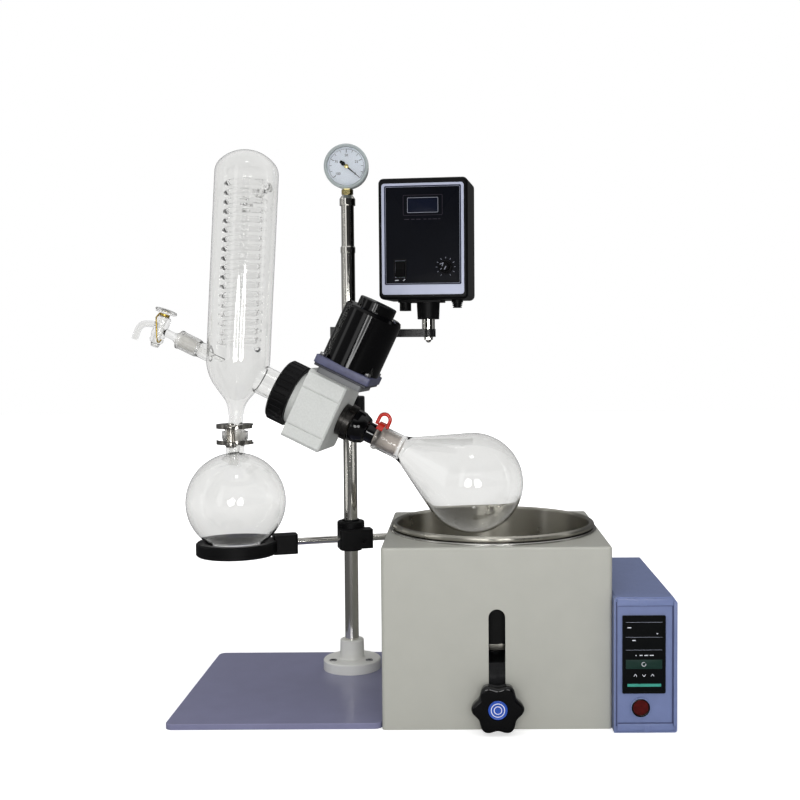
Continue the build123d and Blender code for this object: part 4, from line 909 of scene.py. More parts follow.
class Kit:
    """Hands finished pieces to the frame: finishes and body, with a line in the log."""

    @staticmethod
    def fit(obj: bpy.types.Object, body: str, slot: str, finishes: Sequence[Finish],
            replaces: Sequence[str] = ()) -> bpy.types.Object:
        """Dresses a piece and makes it ride on a body.

        Args:
            obj: the piece.
            body: the body's name.
            slot: not used.
            finishes: one finish for each material index.
            replaces: the solids that the piece stands for.

        Returns:
            The piece.
        """
        for finish in finishes:
            obj.data.materials.append(finish.material())
        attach(obj, body)
        if replaces:
            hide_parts(*replaces)
        LOG.info("%s: %d faces on %s", obj.name, len(obj.data.polygons), body)
        return obj

    @staticmethod
    def lay(name: str, place: Frame, grid: Array, body: str, slot: str, finish: Finish,
            replaces: Sequence[str] = (), closed: bool = False) -> bpy.types.Object:
        """Makes one grid a piece with one finish, and fits it.

        Args:
            name: the piece's name.
            place: the grid's frame.
            grid: its points, (rows, columns, 3).
            body: the body's name.
            slot: not used.
            finish: its finish.
            replaces: the solids that the piece stands for.
            closed: whether the grid's last row joins the first.

        Returns:
            The piece.
        """
        piece = Shell.new().add(place, grid, wrap_rows=closed).make(name)
        return Kit.fit(piece, body, slot, [finish], replaces)

    @staticmethod
    def finish_solids() -> None:
        """Gives every carried-over solid its finish."""
        for name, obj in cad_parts.items():
            obj.data.materials.clear()
            obj.data.materials.append(SOLID_FINISHES[name].material())
            LOG.info("%s: %s", name, SOLID_FINISHES[name].name)


# Glass

# The place of the ground finish among a blown piece's two
GROUND = 1


def pear_outline(ball_r: float, wall: float, low: float, cone: float, neck_r: float,
                 neck_end: float) -> Array:
    """Half of a pear flask: a ball's arc to its tangent cone, a soft corner and the straight neck.

    The arc is (r cos a, low + r sin a) from the bottom to the angle of the cone, whose line touches it there.

    Args:
        ball_r: the ball's outer radius.
        wall: the glass's thickness taken off.
        low: the ball's middle along the axis.
        cone: the cone's half angle in degrees.
        neck_r: the neck's radius.
        neck_end: where the neck stops.

    Returns:
        The outline from pole to neck, (n, 2).
    """
    r = ball_r - wall
    slope = math.radians(cone)
    touch = (r * math.cos(slope), low + r * math.sin(slope))
    corner = (neck_r, touch[1] + (touch[0] - neck_r) / math.tan(slope))
    ball = arc((0.0, low), r, -90.0, cone, 56)
    neck = rounded([touch, corner, (neck_r, neck_end)], 9.0, 10)
    return np.concatenate([ball, neck[1:]])


@dataclass(frozen=True)
class EvaporatingFlask:
    """The pear flask on the spindle, with the duct that it is drawn through."""

    ball_r: float = 65.3
    ball_at: float = -202.0
    wall: float = 2.0
    cone: float = 30.0
    neck_r: float = 16.25
    mouth: float = -60.0
    bead_r: float = 18.0
    bead_h: float = 7.0
    bore_r: float = 13.0
    joint_r: float = 14.6
    joint_depth: float = 34.0
    duct_r: float = 12.0
    duct_wall: float = 2.0
    duct_top: float = 75.0
    steps: int = 160

    def build(self) -> None:
        """Blows the flask with its beaded mouth and ground joint, and draws the duct."""
        lip = self.mouth - 0.3
        bead = self.mouth - self.bead_h
        foot = self.mouth - self.joint_depth
        outer = pear_outline(self.ball_r, 0.0, self.ball_at, self.cone, self.neck_r, bead)
        mouth = rounded([(self.neck_r, bead), (self.bead_r, self.mouth - 4.8),
                         (self.bead_r, self.mouth - 1.4), (16.8, lip), (self.joint_r, lip)], 1.0, 4)
        inner = pear_outline(self.ball_r, self.wall, self.ball_at, self.cone, self.bore_r, foot)
        joint = np.stack([np.linspace(self.bore_r, self.joint_r, 8), np.linspace(foot, lip, 8)], axis=1)
        shell = Shell.new()
        shell.add(HEAD, lathe(np.concatenate([outer, mouth[1:]]), self.steps))
        shell.add(HEAD, lathe(inner[::-1], self.steps))
        shell.add(HEAD, lathe(joint, self.steps), finish=GROUND)
        flask = shell.make("pear_flask", GLASS_SHARP)
        Kit.fit(flask, "rotor", "clear_glass", [CLEAR_GLASS, NECK_GLASS], ["evaporating_flask"])
        self.duct()

    def duct(self) -> None:
        """Draws the vapour tube: its outside, the ground cone in the flask's joint, and its bore."""
        r, bore, top = self.duct_r, self.duct_r - self.duct_wall, self.duct_top
        seat, tip = (14.45, -61.0), (12.85, -93.0)
        duct = Shell.new()
        duct.add(HEAD, lathe(np.array([(r, top), (r, -59.7), seat])))
        duct.add(HEAD, lathe(np.array([seat, tip])), finish=GROUND)
        duct.add(HEAD, lathe(np.array([tip, (bore, tip[1]), (bore, top), (r, top)])))
        Kit.fit(duct.make("vapour_tube"), "rotor", "clear_glass", [CLEAR_GLASS, GROUND_GLASS],
                ["vapour_duct"])


@dataclass(frozen=True)
class Condenser:
    """The coil condenser: barrel with dome and bulb, neck, feed socket, hose nozzles and the coil.

    A port is (height, offset to the side) on the barrel's back.
    """

    r: float = 41.75
    wall: float = 2.2
    shoulder: float = 255.5
    dome_h: float = 32.0
    shoulder_r: float = 24.0
    outlet_r: float = 9.6
    neck_r: float = 19.5
    coil_r: float = 25.0
    tube_r: float = 3.9
    pitch: float = 12.2
    turns: int = 18
    turn_steps: int = 40
    coil_low: float = 26.0
    stem_r: float = 4.6
    stem_low: float = 14.0
    stem_over: float = 6.0
    ports: tuple[tuple[float, float], ...] = ((246.0, 16.0), (222.0, -16.0), (238.0, 0.0))
    steps: int = 128

    def barrel(self, wall: float, low: float) -> Array:
        """The barrel's half outline: outlet, bulb, straight side, shoulder arc and crown arc.

        The crown's arc is centred on the axis and touches the shoulder's arc from inside.

        Args:
            wall: how far the outline is drawn in.
            low: where the outlet ends.

        Returns:
            The outline from the outlet to the top, (n, 2).
        """
        r, out = self.r - wall, self.outlet_r - wall
        inset = self.r - self.shoulder_r
        crown_r = (inset**2 + self.dome_h**2 - self.shoulder_r**2) / (2 * (self.dome_h - self.shoulder_r))
        drop = crown_r - self.dome_h
        meet = math.degrees(math.atan2(drop, inset))
        side = rounded([(out, low), (out, -50 - wall * 0.4), (r, -9 + wall * 0.5), (r, self.shoulder)],
                       [0, 13, 22, 0], 14)
        shoulder = arc((inset, self.shoulder), self.shoulder_r - wall, 0.0, meet, 14)
        crown = arc((0.0, self.shoulder - drop), crown_r - wall, meet, 90.0, 16)
        return np.concatenate([[(0.0, low)], side, shoulder[1:], crown[1:]])

    def build(self) -> None:
        """Joins the outside, cuts the bores and dresses the glass."""
        end = LAYOUT.joint_ball_at
        ball = CONDENSER.moved(z=end)
        body = turned_solid("condenser_glass", CONDENSER, self.barrel(0.0, end), self.steps)
        neck = [(0, 70.1), (31, 70.1), (31, 76), (self.neck_r, 76.3), (self.neck_r, 146), (0, 146)]
        socket = rounded([(0, 146), (10.5, 146), (10.5, 204), (12.2, 208), (12.2, 232), (13.2, 234),
                          (12.6, 236), (0, 236)], 1.5, 4)
        outside = [
            turned_solid("neck", HEAD, neck),
            turned_solid("socket", HEAD, socket),
            turned_solid("ball", ball, arc((0, 0), 14.4, -90, 90, 30)),
            turned_solid("drip_tip", CONDENSER, [(0, -131), (6.8, -130), (6.8, -90), (0, -90)], 40),
        ]
        socket_bore = [(0, 146), (7.6, 146), (7.6, 206), (9.3, 207), (9.9, 237), (0, 237)]
        outlet_bore = [(0, -133), (5.6, -133), (5.6, -96), (7.4, -90), (7.4, -83), (0, -83)]
        bores = [
            turned_solid("room", CONDENSER, self.barrel(self.wall, end + 1), self.steps),
            turned_solid("neck_bore", HEAD, [(0, 69), (16.5, 69), (16.5, 146), (0, 146)]),
            turned_solid("socket_bore", HEAD, socket_bore),
            turned_solid("outlet_bore", CONDENSER, outlet_bore),
        ]
        hose = rounded([(0, 30), (4.6, 30), (4.6, 49.6), (6.2, 49.8), (6.2, 51.8), (4.6, 52), (4.6, 68),
                        (0, 68)], 0.3, 3)
        for height, side in self.ports:
            port = CONDENSER.moved(x=side, z=height).turned(Axis.X, -90.0)
            outside.append(turned_solid("hose_end", port, hose, 32))
            bores.append(turned_solid("hose_bore", port, [(0, 20), (2.6, 20), (2.6, 69), (0, 69)], 24))
        combine(body, outside, Cut.JOIN)
        combine(body, bores, Cut.REMOVE)
        soften(body, CUT_GLASS_SHARP)
        paint_band(body, HEAD, (9.0, 10.3), (207.0, 236.0), GROUND)
        paint_band(body, ball, (6.0, 14.6), (-14.0, 4.0), GROUND)
        Kit.fit(body, "head", "clear_glass", [CLEAR_GLASS, GROUND_GLASS], ["condenser_jacket"])
        self.coil()

    def coil(self) -> None:
        """Winds the cooling coil and its centre tube.

        The coil's middle line is (R cos t, R sin t, low + pitch t / 2 pi), and a ring is carried along it.
        Both tubes are full of clear liquid, so only their outsides show.
        """
        t = np.linspace(0.0, TAU * self.turns, self.turns * self.turn_steps + 1)
        height = self.coil_low + self.pitch * t / TAU
        helix = np.stack([self.coil_r * np.cos(t), self.coil_r * np.sin(t), height], axis=1)
        tube = capped(rings_along(helix, self.tube_r, 16, (0, 0, 1)))
        Kit.lay("wound_coil", CONDENSER, tube, "head", "clear_glass", COIL_GLASS, ["cooling_coil"])
        high = self.coil_low + self.pitch * self.turns + self.stem_over
        stem = rounded([(0, self.stem_low), (self.stem_r, self.stem_low), (self.stem_r, high), (0, high)],
                       0.8, 3)
        Kit.lay("centre_tube", CONDENSER, lathe(stem, 32), "head", "clear_glass", COIL_GLASS)


@dataclass(frozen=True)
class ReceivingFlask:
    """The round flask under the condenser, with its ball cup."""

    r: float = 66.0
    wall: float = 2.2
    drop: float = 91.2
    neck_r: float = 12.3
    cup_r: float = 14.55
    cup_outer_r: float = 17.2
    cup_top: float = 3.4
    steps: int = 144

    def half(self, wall: float, cup: float, top: float) -> Array:
        """The flask's half outline, from the bottom pole to the cup's rim.

        Args:
            wall: how far the outline is drawn in.
            cup: the cup's radius.
            top: where the cup ends.

        Returns:
            The outline, (n, 2).
        """
        r, n = self.r - wall, self.neck_r - wall
        end = math.degrees(math.acos(n / r))
        ball = arc((0.0, -self.drop), r, -90.0, end, 72)
        neck = rounded([tuple(ball[-1]), (n, -15), (cup, -7), (cup, top)], [0, 3, 3, 0], 5)
        return np.concatenate([ball, neck[1:]])

    def build(self) -> None:
        """Blows the flask: the outside, the rim, the ground cup and the inside."""
        bore = self.neck_r - self.wall
        outer = self.half(0.0, self.cup_outer_r, self.cup_top)
        inner = self.half(self.wall, bore, -10.4)[:-3]
        low = -math.degrees(math.acos(bore / self.cup_r))
        cup = arc((0.0, 0.0), self.cup_r, low, math.degrees(math.asin(self.cup_top / self.cup_r)), 12)
        shell = Shell.new()
        shell.add(RECEIVER, lathe(np.concatenate([outer, cup[-1:]]), self.steps))
        shell.add(RECEIVER, lathe(cup, self.steps), finish=GROUND)
        shell.add(RECEIVER, lathe(np.concatenate([inner[:-1], cup[:1]]), self.steps))
        flask = shell.make("round_flask", GLASS_SHARP)
        Kit.fit(flask, "head", "clear_glass", [CLEAR_GLASS, GROUND_GLASS], ["receiving_flask"])


@dataclass(frozen=True)
class ForkClamp:
    """The spring steel fork clamp round the ball joint, open to the back, with its knurled screw in front.

    A fork is (throat radius, underside, (lip's foot, lip's top)).
    """

    reach: float = 24.5
    opening: float = 27.0
    sheet: float = 1.6
    forks: tuple[tuple[float, float, tuple[float, float]], ...] = (
        (11.2, 11.6, (7.6, 11.8)), (14.6, -13.5, (-12.0, -7.8)),
    )
    lug_at: float = -26.0
    screw_at: float = -27.0
    shank_r: float = 5.0
    ridges: int = 18

    def build(self) -> None:
        """Bends both forks with their lips and lugs, and sets the screw."""
        clamp = Shell.new()
        lug = rounded_rect(15.0, 10.0, 3.0)
        for throat, low, lip in self.forks:
            high = low + self.sheet
            clamp.add(RECEIVER, arc_strip(throat, self.reach, 90.0 + self.opening, 450.0 - self.opening,
                                          low, high))
            clamp.add(RECEIVER, arc_strip(self.reach - self.sheet, self.reach, 190.0, 350.0, *lip))
            clamp.add(RECEIVER.moved(y=self.lug_at), prism(lug, low, high, 0.3))
        screw_place = RECEIVER.moved(y=self.screw_at)
        screw = rounded([(0, -16.5), (3.4, -16.5), (6.6, -15.4), (6.6, -9.4), (4.9, -9.0), (4.9, 8.4),
                         (6.2, 9.0), (6.2, 11.5), (0, 11.5)], 0.5, 4)
        head = rounded([(0, 13.2), (4.4, 13.2), (4.4, 15.0), (3.4, 15.8), (0, 15.8)], 0.5, 4)
        for outline in (screw, head):
            clamp.add(screw_place, lathe(outline, 40))
        angle = np.linspace(0.0, 360.0, self.ridges, endpoint=False)
        clamp.add_bars(screw_place, polar(self.shank_r, angle), angle, 0.9, 0.7, -8.6, 8.0)
        Kit.fit(clamp.make("fork_clamp"), "head", "chrome", [CLAMP_STEEL], ["ball_joint_clamp"])


@dataclass(frozen=True)
class FeedCock:
    """The feed stopcock in blown glass: barrel, ground cone, bent nozzle, inner tube, plug and brass clip.

    The barrel and the plug stand on the cock's own axis, crossing the head's at `crossing`.
    """

    low: float = -21.0
    high: float = 18.0
    plug_r: float = 4.6
    play: float = 0.05
    crossing: float = 265.5
    feed_end: float = 168.5
    nozzle_r: float = 4.25
    nozzle_bore_r: float = 2.65

    def build(self) -> None:
        """Joins the glass, cuts the bores, and sets the plug and the clip."""
        low, high, plug = self.low, self.high, self.plug_r + self.play
        barrel = rounded([(0, low - 2), (5.4, low - 2), (6.0, low + 2), (9.4, low + 5), (8.6, low + 10),
                          (10.2, low + 15), (9.0, -1.0), (9.6, 5.0), (10.6, high - 6), (9.6, high - 1),
                          (8.4, high), (0, high)], 2.4, 5)
        stem = rounded([(0, 207.5), (8.3, 207.5), (9.2, 235.5), (7.0, 239.5), (5.2, 243.5),
                        (5.2, self.crossing), (0, self.crossing)], 2.0, 5)
        feed = [(0, 166), (1.8, 166.6), (3.0, self.feed_end), (3.0, 208.5), (0, 208.5)]
        drop = [(0, -21.0), (3.0, -21.0), (3.0, 0.0), (2.0, 1.6), (0, 2.2)]
        drop_place = Frame(HEAD.place(np.array([0, 0, self.feed_end])), ROW.x, ROW.y, ROW.z)
        bend_place, bend, bore = self.nozzle()
        body = turned_solid("feed_cock_glass", STOPCOCK, barrel, 64)
        joined = [
            turned_solid("stem", HEAD, stem, 64),
            turned_solid("feed", HEAD, feed, 32),
            turned_solid("drop", drop_place, drop, 32),
            Shell.new().add(bend_place, bend).make("bend"),
        ]
        combine(body, joined, Cut.JOIN)
        plug_bore = turned_solid("plug_bore", STOPCOCK, [(0, low - 3), (plug, low - 3), (plug, high + 3),
                                                         (0, high + 3)], 48)
        combine(body, [plug_bore, Shell.new().add(bend_place, bore).make("bore")], Cut.REMOVE)
        soften(body, CUT_GLASS_SHARP)
        paint_band(body, HEAD, (8.0, 9.4), (209.0, 235.4), GROUND)
        Kit.fit(body, "head", "clear_glass", [CLEAR_GLASS, GROUND_GLASS], ["stopcock_body"])
        self.plug()
        self.clip()

    def nozzle(self) -> tuple[Frame, Array, Array]:
        """The bent nozzle to the left of the cock.

        Its middle line is a polyline with soft corners. The bore runs one step further, so that it opens.

        Returns:
            The frame, the nozzle's rings and the bore's rings.
        """
        origin = HEAD.place(np.array([0.0, 0.0, self.crossing]))
        place = Frame(origin, LAYOUT.right(), np.cross(ROW.z, LAYOUT.right()), ROW.z)
        run = rounded([(2, 7), (-27, 9), (-36, -12)], 10.5, 14)
        path = np.column_stack([run[:, 0], np.zeros(len(run)), run[:, 1]])
        longer = np.concatenate([path, path[-1:] + (path[-1:] - path[-2:-1])])
        bend = capped(rings_along(path, self.nozzle_r, 28, (0, 1, 0)))
        return place, bend, capped(rings_along(longer, self.nozzle_bore_r, 24, (0, 1, 0)))

    def plug(self) -> None:
        """Sets the solid glass plug with its flat round handle."""
        low, high, r = self.low, self.high, self.plug_r
        outline = rounded([(0, low - 3), (5.2, low - 3), (5.2, low - 0.6), (r, low - 0.2), (r, high + 1),
                           (5.2, high + 2), (5.2, high + 5.2), (14.0, high + 5.6), (14.8, high + 7.8),
                           (14.0, high + 10), (0, high + 10)], 1.4, 5)
        Kit.lay("plug_glass", STOPCOCK, lathe(outline, 72), "feed_plug", "clear_glass", CLEAR_GLASS,
                ["stopcock_plug"])

    def clip(self) -> None:
        """Bends the sprung brass band round the plug's neck, and its wire down the barrel's front to a hook.

        The wire stands off by an amount that falls in a straight line from the barrel to the band.
        """
        low, high = self.low, self.high
        band = rounded([(5.4, high + 1.0), (6.6, high + 1.0), (6.6, high + 5.0), (5.4, high + 5.0),
                        (5.4, high + 1.1)], 0.3, 3)
        shell = Shell.new().add(STOPCOCK, lathe(band, 48), wrap_rows=True)
        run = rounded([(-6.2, high + 3.4), (-6.0, high - 2), (5.0, low + 9), (8.6, low + 5),
                       (11.0, low + 11)], 4.0, 8)
        out = 12.0 - 9.5 * np.clip((run[:, 1] - high + 3.0) / 7.0, 0.0, 1.0)
        path = np.column_stack([out, run])
        shell.add(STOPCOCK, capped(rings_along(path, 1.0, 12, (1, 0, 0))))
        Kit.fit(shell.make("brass_clip"), "head", "brass", [CLIP_BRASS])


# Stand and gauge

# A font's size for digits of height 1, and half the thickness of printed digits in millimetres
FONT_SIZE = 1.4
PRINT_HALF = 0.04


def numeral(text: str, height: float, place: Frame, body: str, finish: Finish, name: str) -> bpy.types.Object:
    """A raised printed number: a text outline made a mesh and laid on a drawing plane.

    Args:
        text: the digits.
        height: their height.
        place: the plane, whose origin is the number's middle.
        body: the body that carries it.
        finish: its ink.
        name: the piece's name.

    Returns:
        The piece.
    """
    curve = bpy.data.curves.new(name, "FONT")
    curve.body = text
    curve.size = height * FONT_SIZE
    curve.extrude = PRINT_HALF
    curve.align_x = "CENTER"
    curve.align_y = "CENTER"
    source = bpy.data.objects.new(name, curve)
    mesh = bpy.data.meshes.new_from_object(source)
    bpy.data.objects.remove(source)
    flat = np.zeros(len(mesh.vertices) * 3)
    mesh.vertices.foreach_get("co", flat)
    mesh.vertices.foreach_set("co", (place.place(flat.reshape(-1, 3)) * MM).ravel())
    mesh.update()
    obj = bpy.data.objects.new(name, mesh)
    bpy.context.scene.collection.objects.link(obj)
    return Kit.fit(obj, body, "dial_white", [finish])


@dataclass(frozen=True)
class Gauge:
    """The vacuum gauge's printed scale, numbers, hand and hub, in front of the dial plate."""

    z: float = 704.0
    face: float = 9.0
    ink: float = 0.1
    zero: float = -40.0
    sweep: float = 260.0
    ticks: int = 13
    major_every: int = 3
    tick_end: float = 23.4
    number_r: float = 15.2
    number_h: float = 3.4
    numbers: int = 5
    number_step: int = 25

    def build(self) -> None:
        """Prints the scale and sets the pointer's hand and hub."""
        place = facing(ROW, 0.0, 0.0, self.z)
        inked = self.face + self.ink
        angle = self.zero + np.linspace(0.0, self.sweep, self.ticks)
        major = np.arange(self.ticks) % self.major_every == 0
        length = np.where(major, 4.6, 3.2)
        scale = Shell.new()
        scale.add_bars(place, polar(self.tick_end - length / 2, angle), angle, length,
                       np.where(major, 0.7, 0.45), self.face, inked)
        scale.add(place, arc_strip(23.7, 24.0, self.zero, self.zero + self.sweep, self.face, inked))
        Kit.fit(scale.make("gauge_scale"), "stand", "dial_white", [PRINT_BLACK])
        for i in range(self.numbers):
            a = math.radians(self.zero + self.sweep * i / (self.numbers - 1))
            spot = place.moved(self.number_r * math.cos(a), self.number_r * math.sin(a),
                               self.face + self.ink / 2)
            numeral(str(self.number_step * i), self.number_h, spot, "stand", PRINT_BLACK, f"gauge_number_{i}")
        half = np.array([(-8.6, 0.0), (-8.2, 2.2), (-5.6, 3.0), (-2.4, 1.5), (2.0, 0.75), (22.4, 0.25)])
        outline = np.concatenate([half, half[:0:-1] * (1, -1)])[::-1]
        hand = prism(rounded(outline, 0.3, 2, closed=True), 10.9, 11.5, 0.1)
        Kit.lay("gauge_hand", place.turned(Axis.Z, self.zero), hand, "gauge_needle", "black_gloss",
                PRINT_BLACK)
        hub = rounded([(0, 11.2), (2.9, 11.2), (2.9, 12.0), (0, 12.6)], 0.4, 4)
        Kit.lay("pointer_hub", place, lathe(hub, 40), "gauge_needle", "brass", BRASS)


# Control box


@dataclass(frozen=True)
class ControlPanel:
    """The box's black field, its display, the rocker's surround and marks, and the knob's scale and cap.

    The pairs are places on the box's face. `foot` is where what stands on the field begins, just under its
    surface, and `print_top` where its print ends.
    """

    front: float = -41.0
    field_y: float = 607.0
    switch: tuple[float, float] = (-31.0, 561.5)
    knob: tuple[float, float] = (31.2, 563.8)
    display: tuple[float, float] = (0.4, 647.0)
    foot: float = 0.9
    print_top: float = 1.15
    shaft_hole_r: float = 3.9
    dial_r: float = 12.4
    dial_marks: int = 11

    def build(self) -> None:
        """Lays the panel's pieces from the back to the front."""
        face = facing(BOX, 0.0, self.front, 0.0)
        field_at = face.moved(y=self.field_y)
        sheet = prism(rounded_rect(104.6, 132.6, 2.0), 0.72, 1.05, 0.1)
        field = Shell.new().add(field_at, sheet).make("panel_field")
        through = (-3, 4, 0.0)
        switch_hole = prism(rounded_rect(13.9, 23.0, 0.5), *through)
        shaft_hole = prism(arc((0, 0), self.shaft_hole_r, 0, 350, 35), *through)
        holes = [
            Shell.new().add(face.moved(*self.switch), switch_hole).make("switch_hole"),
            Shell.new().add(face.moved(*self.knob), shaft_hole).make("shaft_hole"),
        ]
        combine(field, holes, Cut.REMOVE)
        soften(field, 35.0)
        Kit.fit(field, "control_box", "black_case", [PANEL_BLACK])
        border = rim(rounded_rect(104.4, 132.4, 2.0), rounded_rect(101.0, 129.0, 1.6), 0.95, 1.12, 0.05)
        Kit.lay("panel_border", field_at, border, "control_box", "label_silver", PANEL_NAVY)
        line = rim(rounded_rect(101.6, 129.6, 2.0), rounded_rect(100.6, 128.6, 1.6), 1.0, 1.2, 0.05)
        Kit.lay("panel_line", field_at, line, "control_box", "label_silver", PRINT_GREY)
        self.window(face.moved(*self.display))
        self.rocker(face.moved(*self.switch))
        self.dial(face.moved(*self.knob))

    def window(self, place: Frame) -> None:
        """Sets the display: dark navy glass in a thin silver frame, in a dim line over a row of dim dashes.

        Args:
            place: the display's middle on the face.
        """
        glass = prism(rounded_rect(39.4, 17.6, 0.8), self.foot, 1.25, 0.1)
        Kit.lay("display_glass", place, glass, "control_box", "display_black", LCD_NAVY)
        edge = rim(rounded_rect(42.2, 20.4, 1.4), rounded_rect(40.8, 19.0, 1.0), self.foot, 1.4, 0.15)
        Kit.lay("display_frame", place, edge, "control_box", "label_silver", PRINT_GREY)
        line = rim(rounded_rect(53.8, 27.4, 1.8), rounded_rect(52.6, 26.2, 1.4), self.foot, self.print_top,
                   0.05)
        dim = Shell.new().add(place, line)
        dashes = np.array([(-22.0, 7.0), (-13.5, 5.0), (-6.0, 6.0), (3.0, 4.0), (9.5, 4.6), (16.5, 6.4),
                           (22.5, 3.0)])
        middles = np.column_stack([dashes[:, 0], np.full(len(dashes), -18.8)])
        dim.add_bars(place, middles, 0.0, dashes[:, 1], 1.0, self.foot, 1.12)
        Kit.fit(dim.make("display_dim_lines"), "control_box", "label_silver", [PRINT_DIM])

    def rocker(self, place: Frame) -> None:
        """Sets the switch's moulded surround, and prints the on and off marks.

        Args:
            place: the switch's middle on the face.
        """
        surround = rim(rounded_rect(17.0, 26.6, 1.2), rounded_rect(13.8, 22.9, 0.6), self.foot, 2.4, 0.4)
        Kit.lay("switch_surround", place, surround, "control_box", "black_case", ABS_BLACK)
        spots = np.array([(-4.6, -14.8), (5.4, -14.4)])
        marks = Shell.new().add_bars(place, spots, np.array([4.0, 38.0]), np.array([5.0, 3.6]), 0.9, 0.95,
                                     self.print_top)
        Kit.fit(marks.make("switch_marks"), "control_box", "label_silver", [PRINT_WHITE])

    def dial(self, place: Frame) -> None:
        """Prints the knob's scale, and sets its cap with grey strokes on it that are painted highlights.

        Args:
            place: the knob's middle on the face.
        """
        angle = np.linspace(-150.0, 150.0, self.dial_marks) + 90.0
        marks = Shell.new().add_bars(place, polar(self.dial_r, angle), angle, 2.2, 0.55, 1.0, self.print_top)
        Kit.fit(marks.make("speed_marks"), "control_box", "label_silver", [PRINT_GREY])
        cap = rounded([(0, 15.4), (6.6, 15.4), (6.4, 16.0), (5.6, 16.3), (0, 16.3)], 0.3, 4)
        shell = Shell.new().add(place, lathe(cap, 48))
        # Grey bars on the cap: painted highlights of its turned face
        painted_glints = np.array([(-3.2, 3.6, 20.0, 5.2, 0.9), (-1.9, 2.0, 75.0, 4.0, 0.9),
                            (1.6, -2.2, 62.0, 5.0, 1.2), (-4.0, -3.6, 50.0, 2.2, 0.8)])
        shell.add_bars(place, painted_glints[:, :2], painted_glints[:, 2], painted_glints[:, 3], painted_glints[:, 4], 15.6, 16.7,
                       finish=1)
        Kit.fit(shell.make("knob_cap"), "speed_dial", "black_gloss", [ROCKER_BLACK, PRINT_GREY])


# Head


@dataclass(frozen=True)
class MotorMount:
    """The motor's square plate in two layers over its spacer, with the four screws at its corners."""

    top: float = 71.0
    low: float = 60.4
    spacer: tuple[float, float] = (49.0, 57.0)
    screw_at: float = 31.5

    def build(self) -> None:
        """Lays the plates and sets the screws."""
        plate = Shell.new()
        plate.add(MOTOR, prism(rounded_rect(76, 76, 2.5), self.low, self.top, 0.9))
        # The lower layer's darker paint is painted shade under the upper plate
        plate.add(MOTOR, prism(rounded_rect(73, 73, 2.5), self.spacer[1], self.low - 0.3, 0.6), finish=1)
        plate.add(MOTOR, prism(rounded_rect(62, 62, 4), self.spacer[0], self.spacer[1] + 0.1, 0.5), finish=2)
        Kit.fit(plate.make("motor_plate"), "head", "flange_plate", [PLATE_BLUE, PLATE_PAINTED_SHADE, SPACER_GREY],
                ["motor_flange"])
        head = np.array([(0, 0.0), (3.9, 0.0), (4.1, 0.3), (4.1, 3.6), (3.7, 4.1), (2.2, 4.1), (2.0, 3.9),
                         (2.0, 1.8), (0, 1.4)])
        screws = Shell.new()
        for x in (self.screw_at, -self.screw_at):
            for y in (self.screw_at, -self.screw_at):
                screws.add(MOTOR.moved(x, y, self.top), lathe(head, 32))
        Kit.fit(screws.make("plate_screws"), "head", "bright_steel", [STEEL])


@dataclass(frozen=True)
class FlaskGrip:
    """The smooth conical nut behind the flask, and the red bail that clips over the flask's bead."""

    bore: float = 12.3
    nut_r: float = 21.8
    bar_r: float = 2.5
    bail_half: float = 7.4
    bail_foot: float = 15.5
    bail_crown: float = 24.6
    bail_off: float = 6.5
    bead_at: float = -63.0

    def build(self) -> None:
        """Turns the nut and bends the bail.

        The nut is the revolution of its rounded outline. The bail's middle line is an upside-down U, two legs
        joined by half a circle, and its round section is carried along it.
        """
        b, r = self.bore, self.nut_r
        nut = rounded([(b, -26.2), (r, -26.2), (r, -36.5), (17.2, -47.0), (13.4, -48.2), (13.4, -59.2),
                       (b, -59.2)], [0.1, 1.6, 5.0, 3.0, 0.8, 0.6, 0.1], 8, closed=True)
        Kit.lay("flask_nut_smooth", HEAD, lathe(nut, 120), "rotor", "black_plastic", PHENOLIC, ["flask_nut"],
                closed=True)
        half, foot = self.bail_half, self.bail_foot
        bow = arc((0.0, self.bail_crown), half, 0.0, 180.0, 20)
        line = np.concatenate([[(half, foot)], bow, [(-half, foot)]])
        path = np.column_stack([np.full(len(line), self.bail_off), line[:, 1], line[:, 0] + self.bead_at])
        bail = Shell.new().add(HEAD, capped(rings_along(path, self.bar_r, 20, (1, 0, 0))))
        bail.add(HEAD.moved(z=self.bead_at), arc_strip(18.3, 20.0, 35.0, 100.0, -4.4, 4.4))
        Kit.fit(bail.make("red_bail"), "rotor", "red_plastic", [ABS_RED], ["flask_clip"])


# Heating bath


@dataclass(frozen=True)
class BathTrim:
    """The polished ring round the opening in the bath's top."""

    inner: float = 129.2
    outer: float = 134.7
    low: float = 218.6
    high: float = 221.6

    def build(self) -> None:
        """Turns the ring."""
        ring = rounded([(self.inner, self.low), (self.outer, 218.9), (self.outer, 220.6), (133.6, self.high),
                        (self.inner, self.high)], 0.5, 4, closed=True)
        Kit.lay("opening_trim", POT, lathe(ring, 180), "stand", "stainless", RIM_STEEL, closed=True)


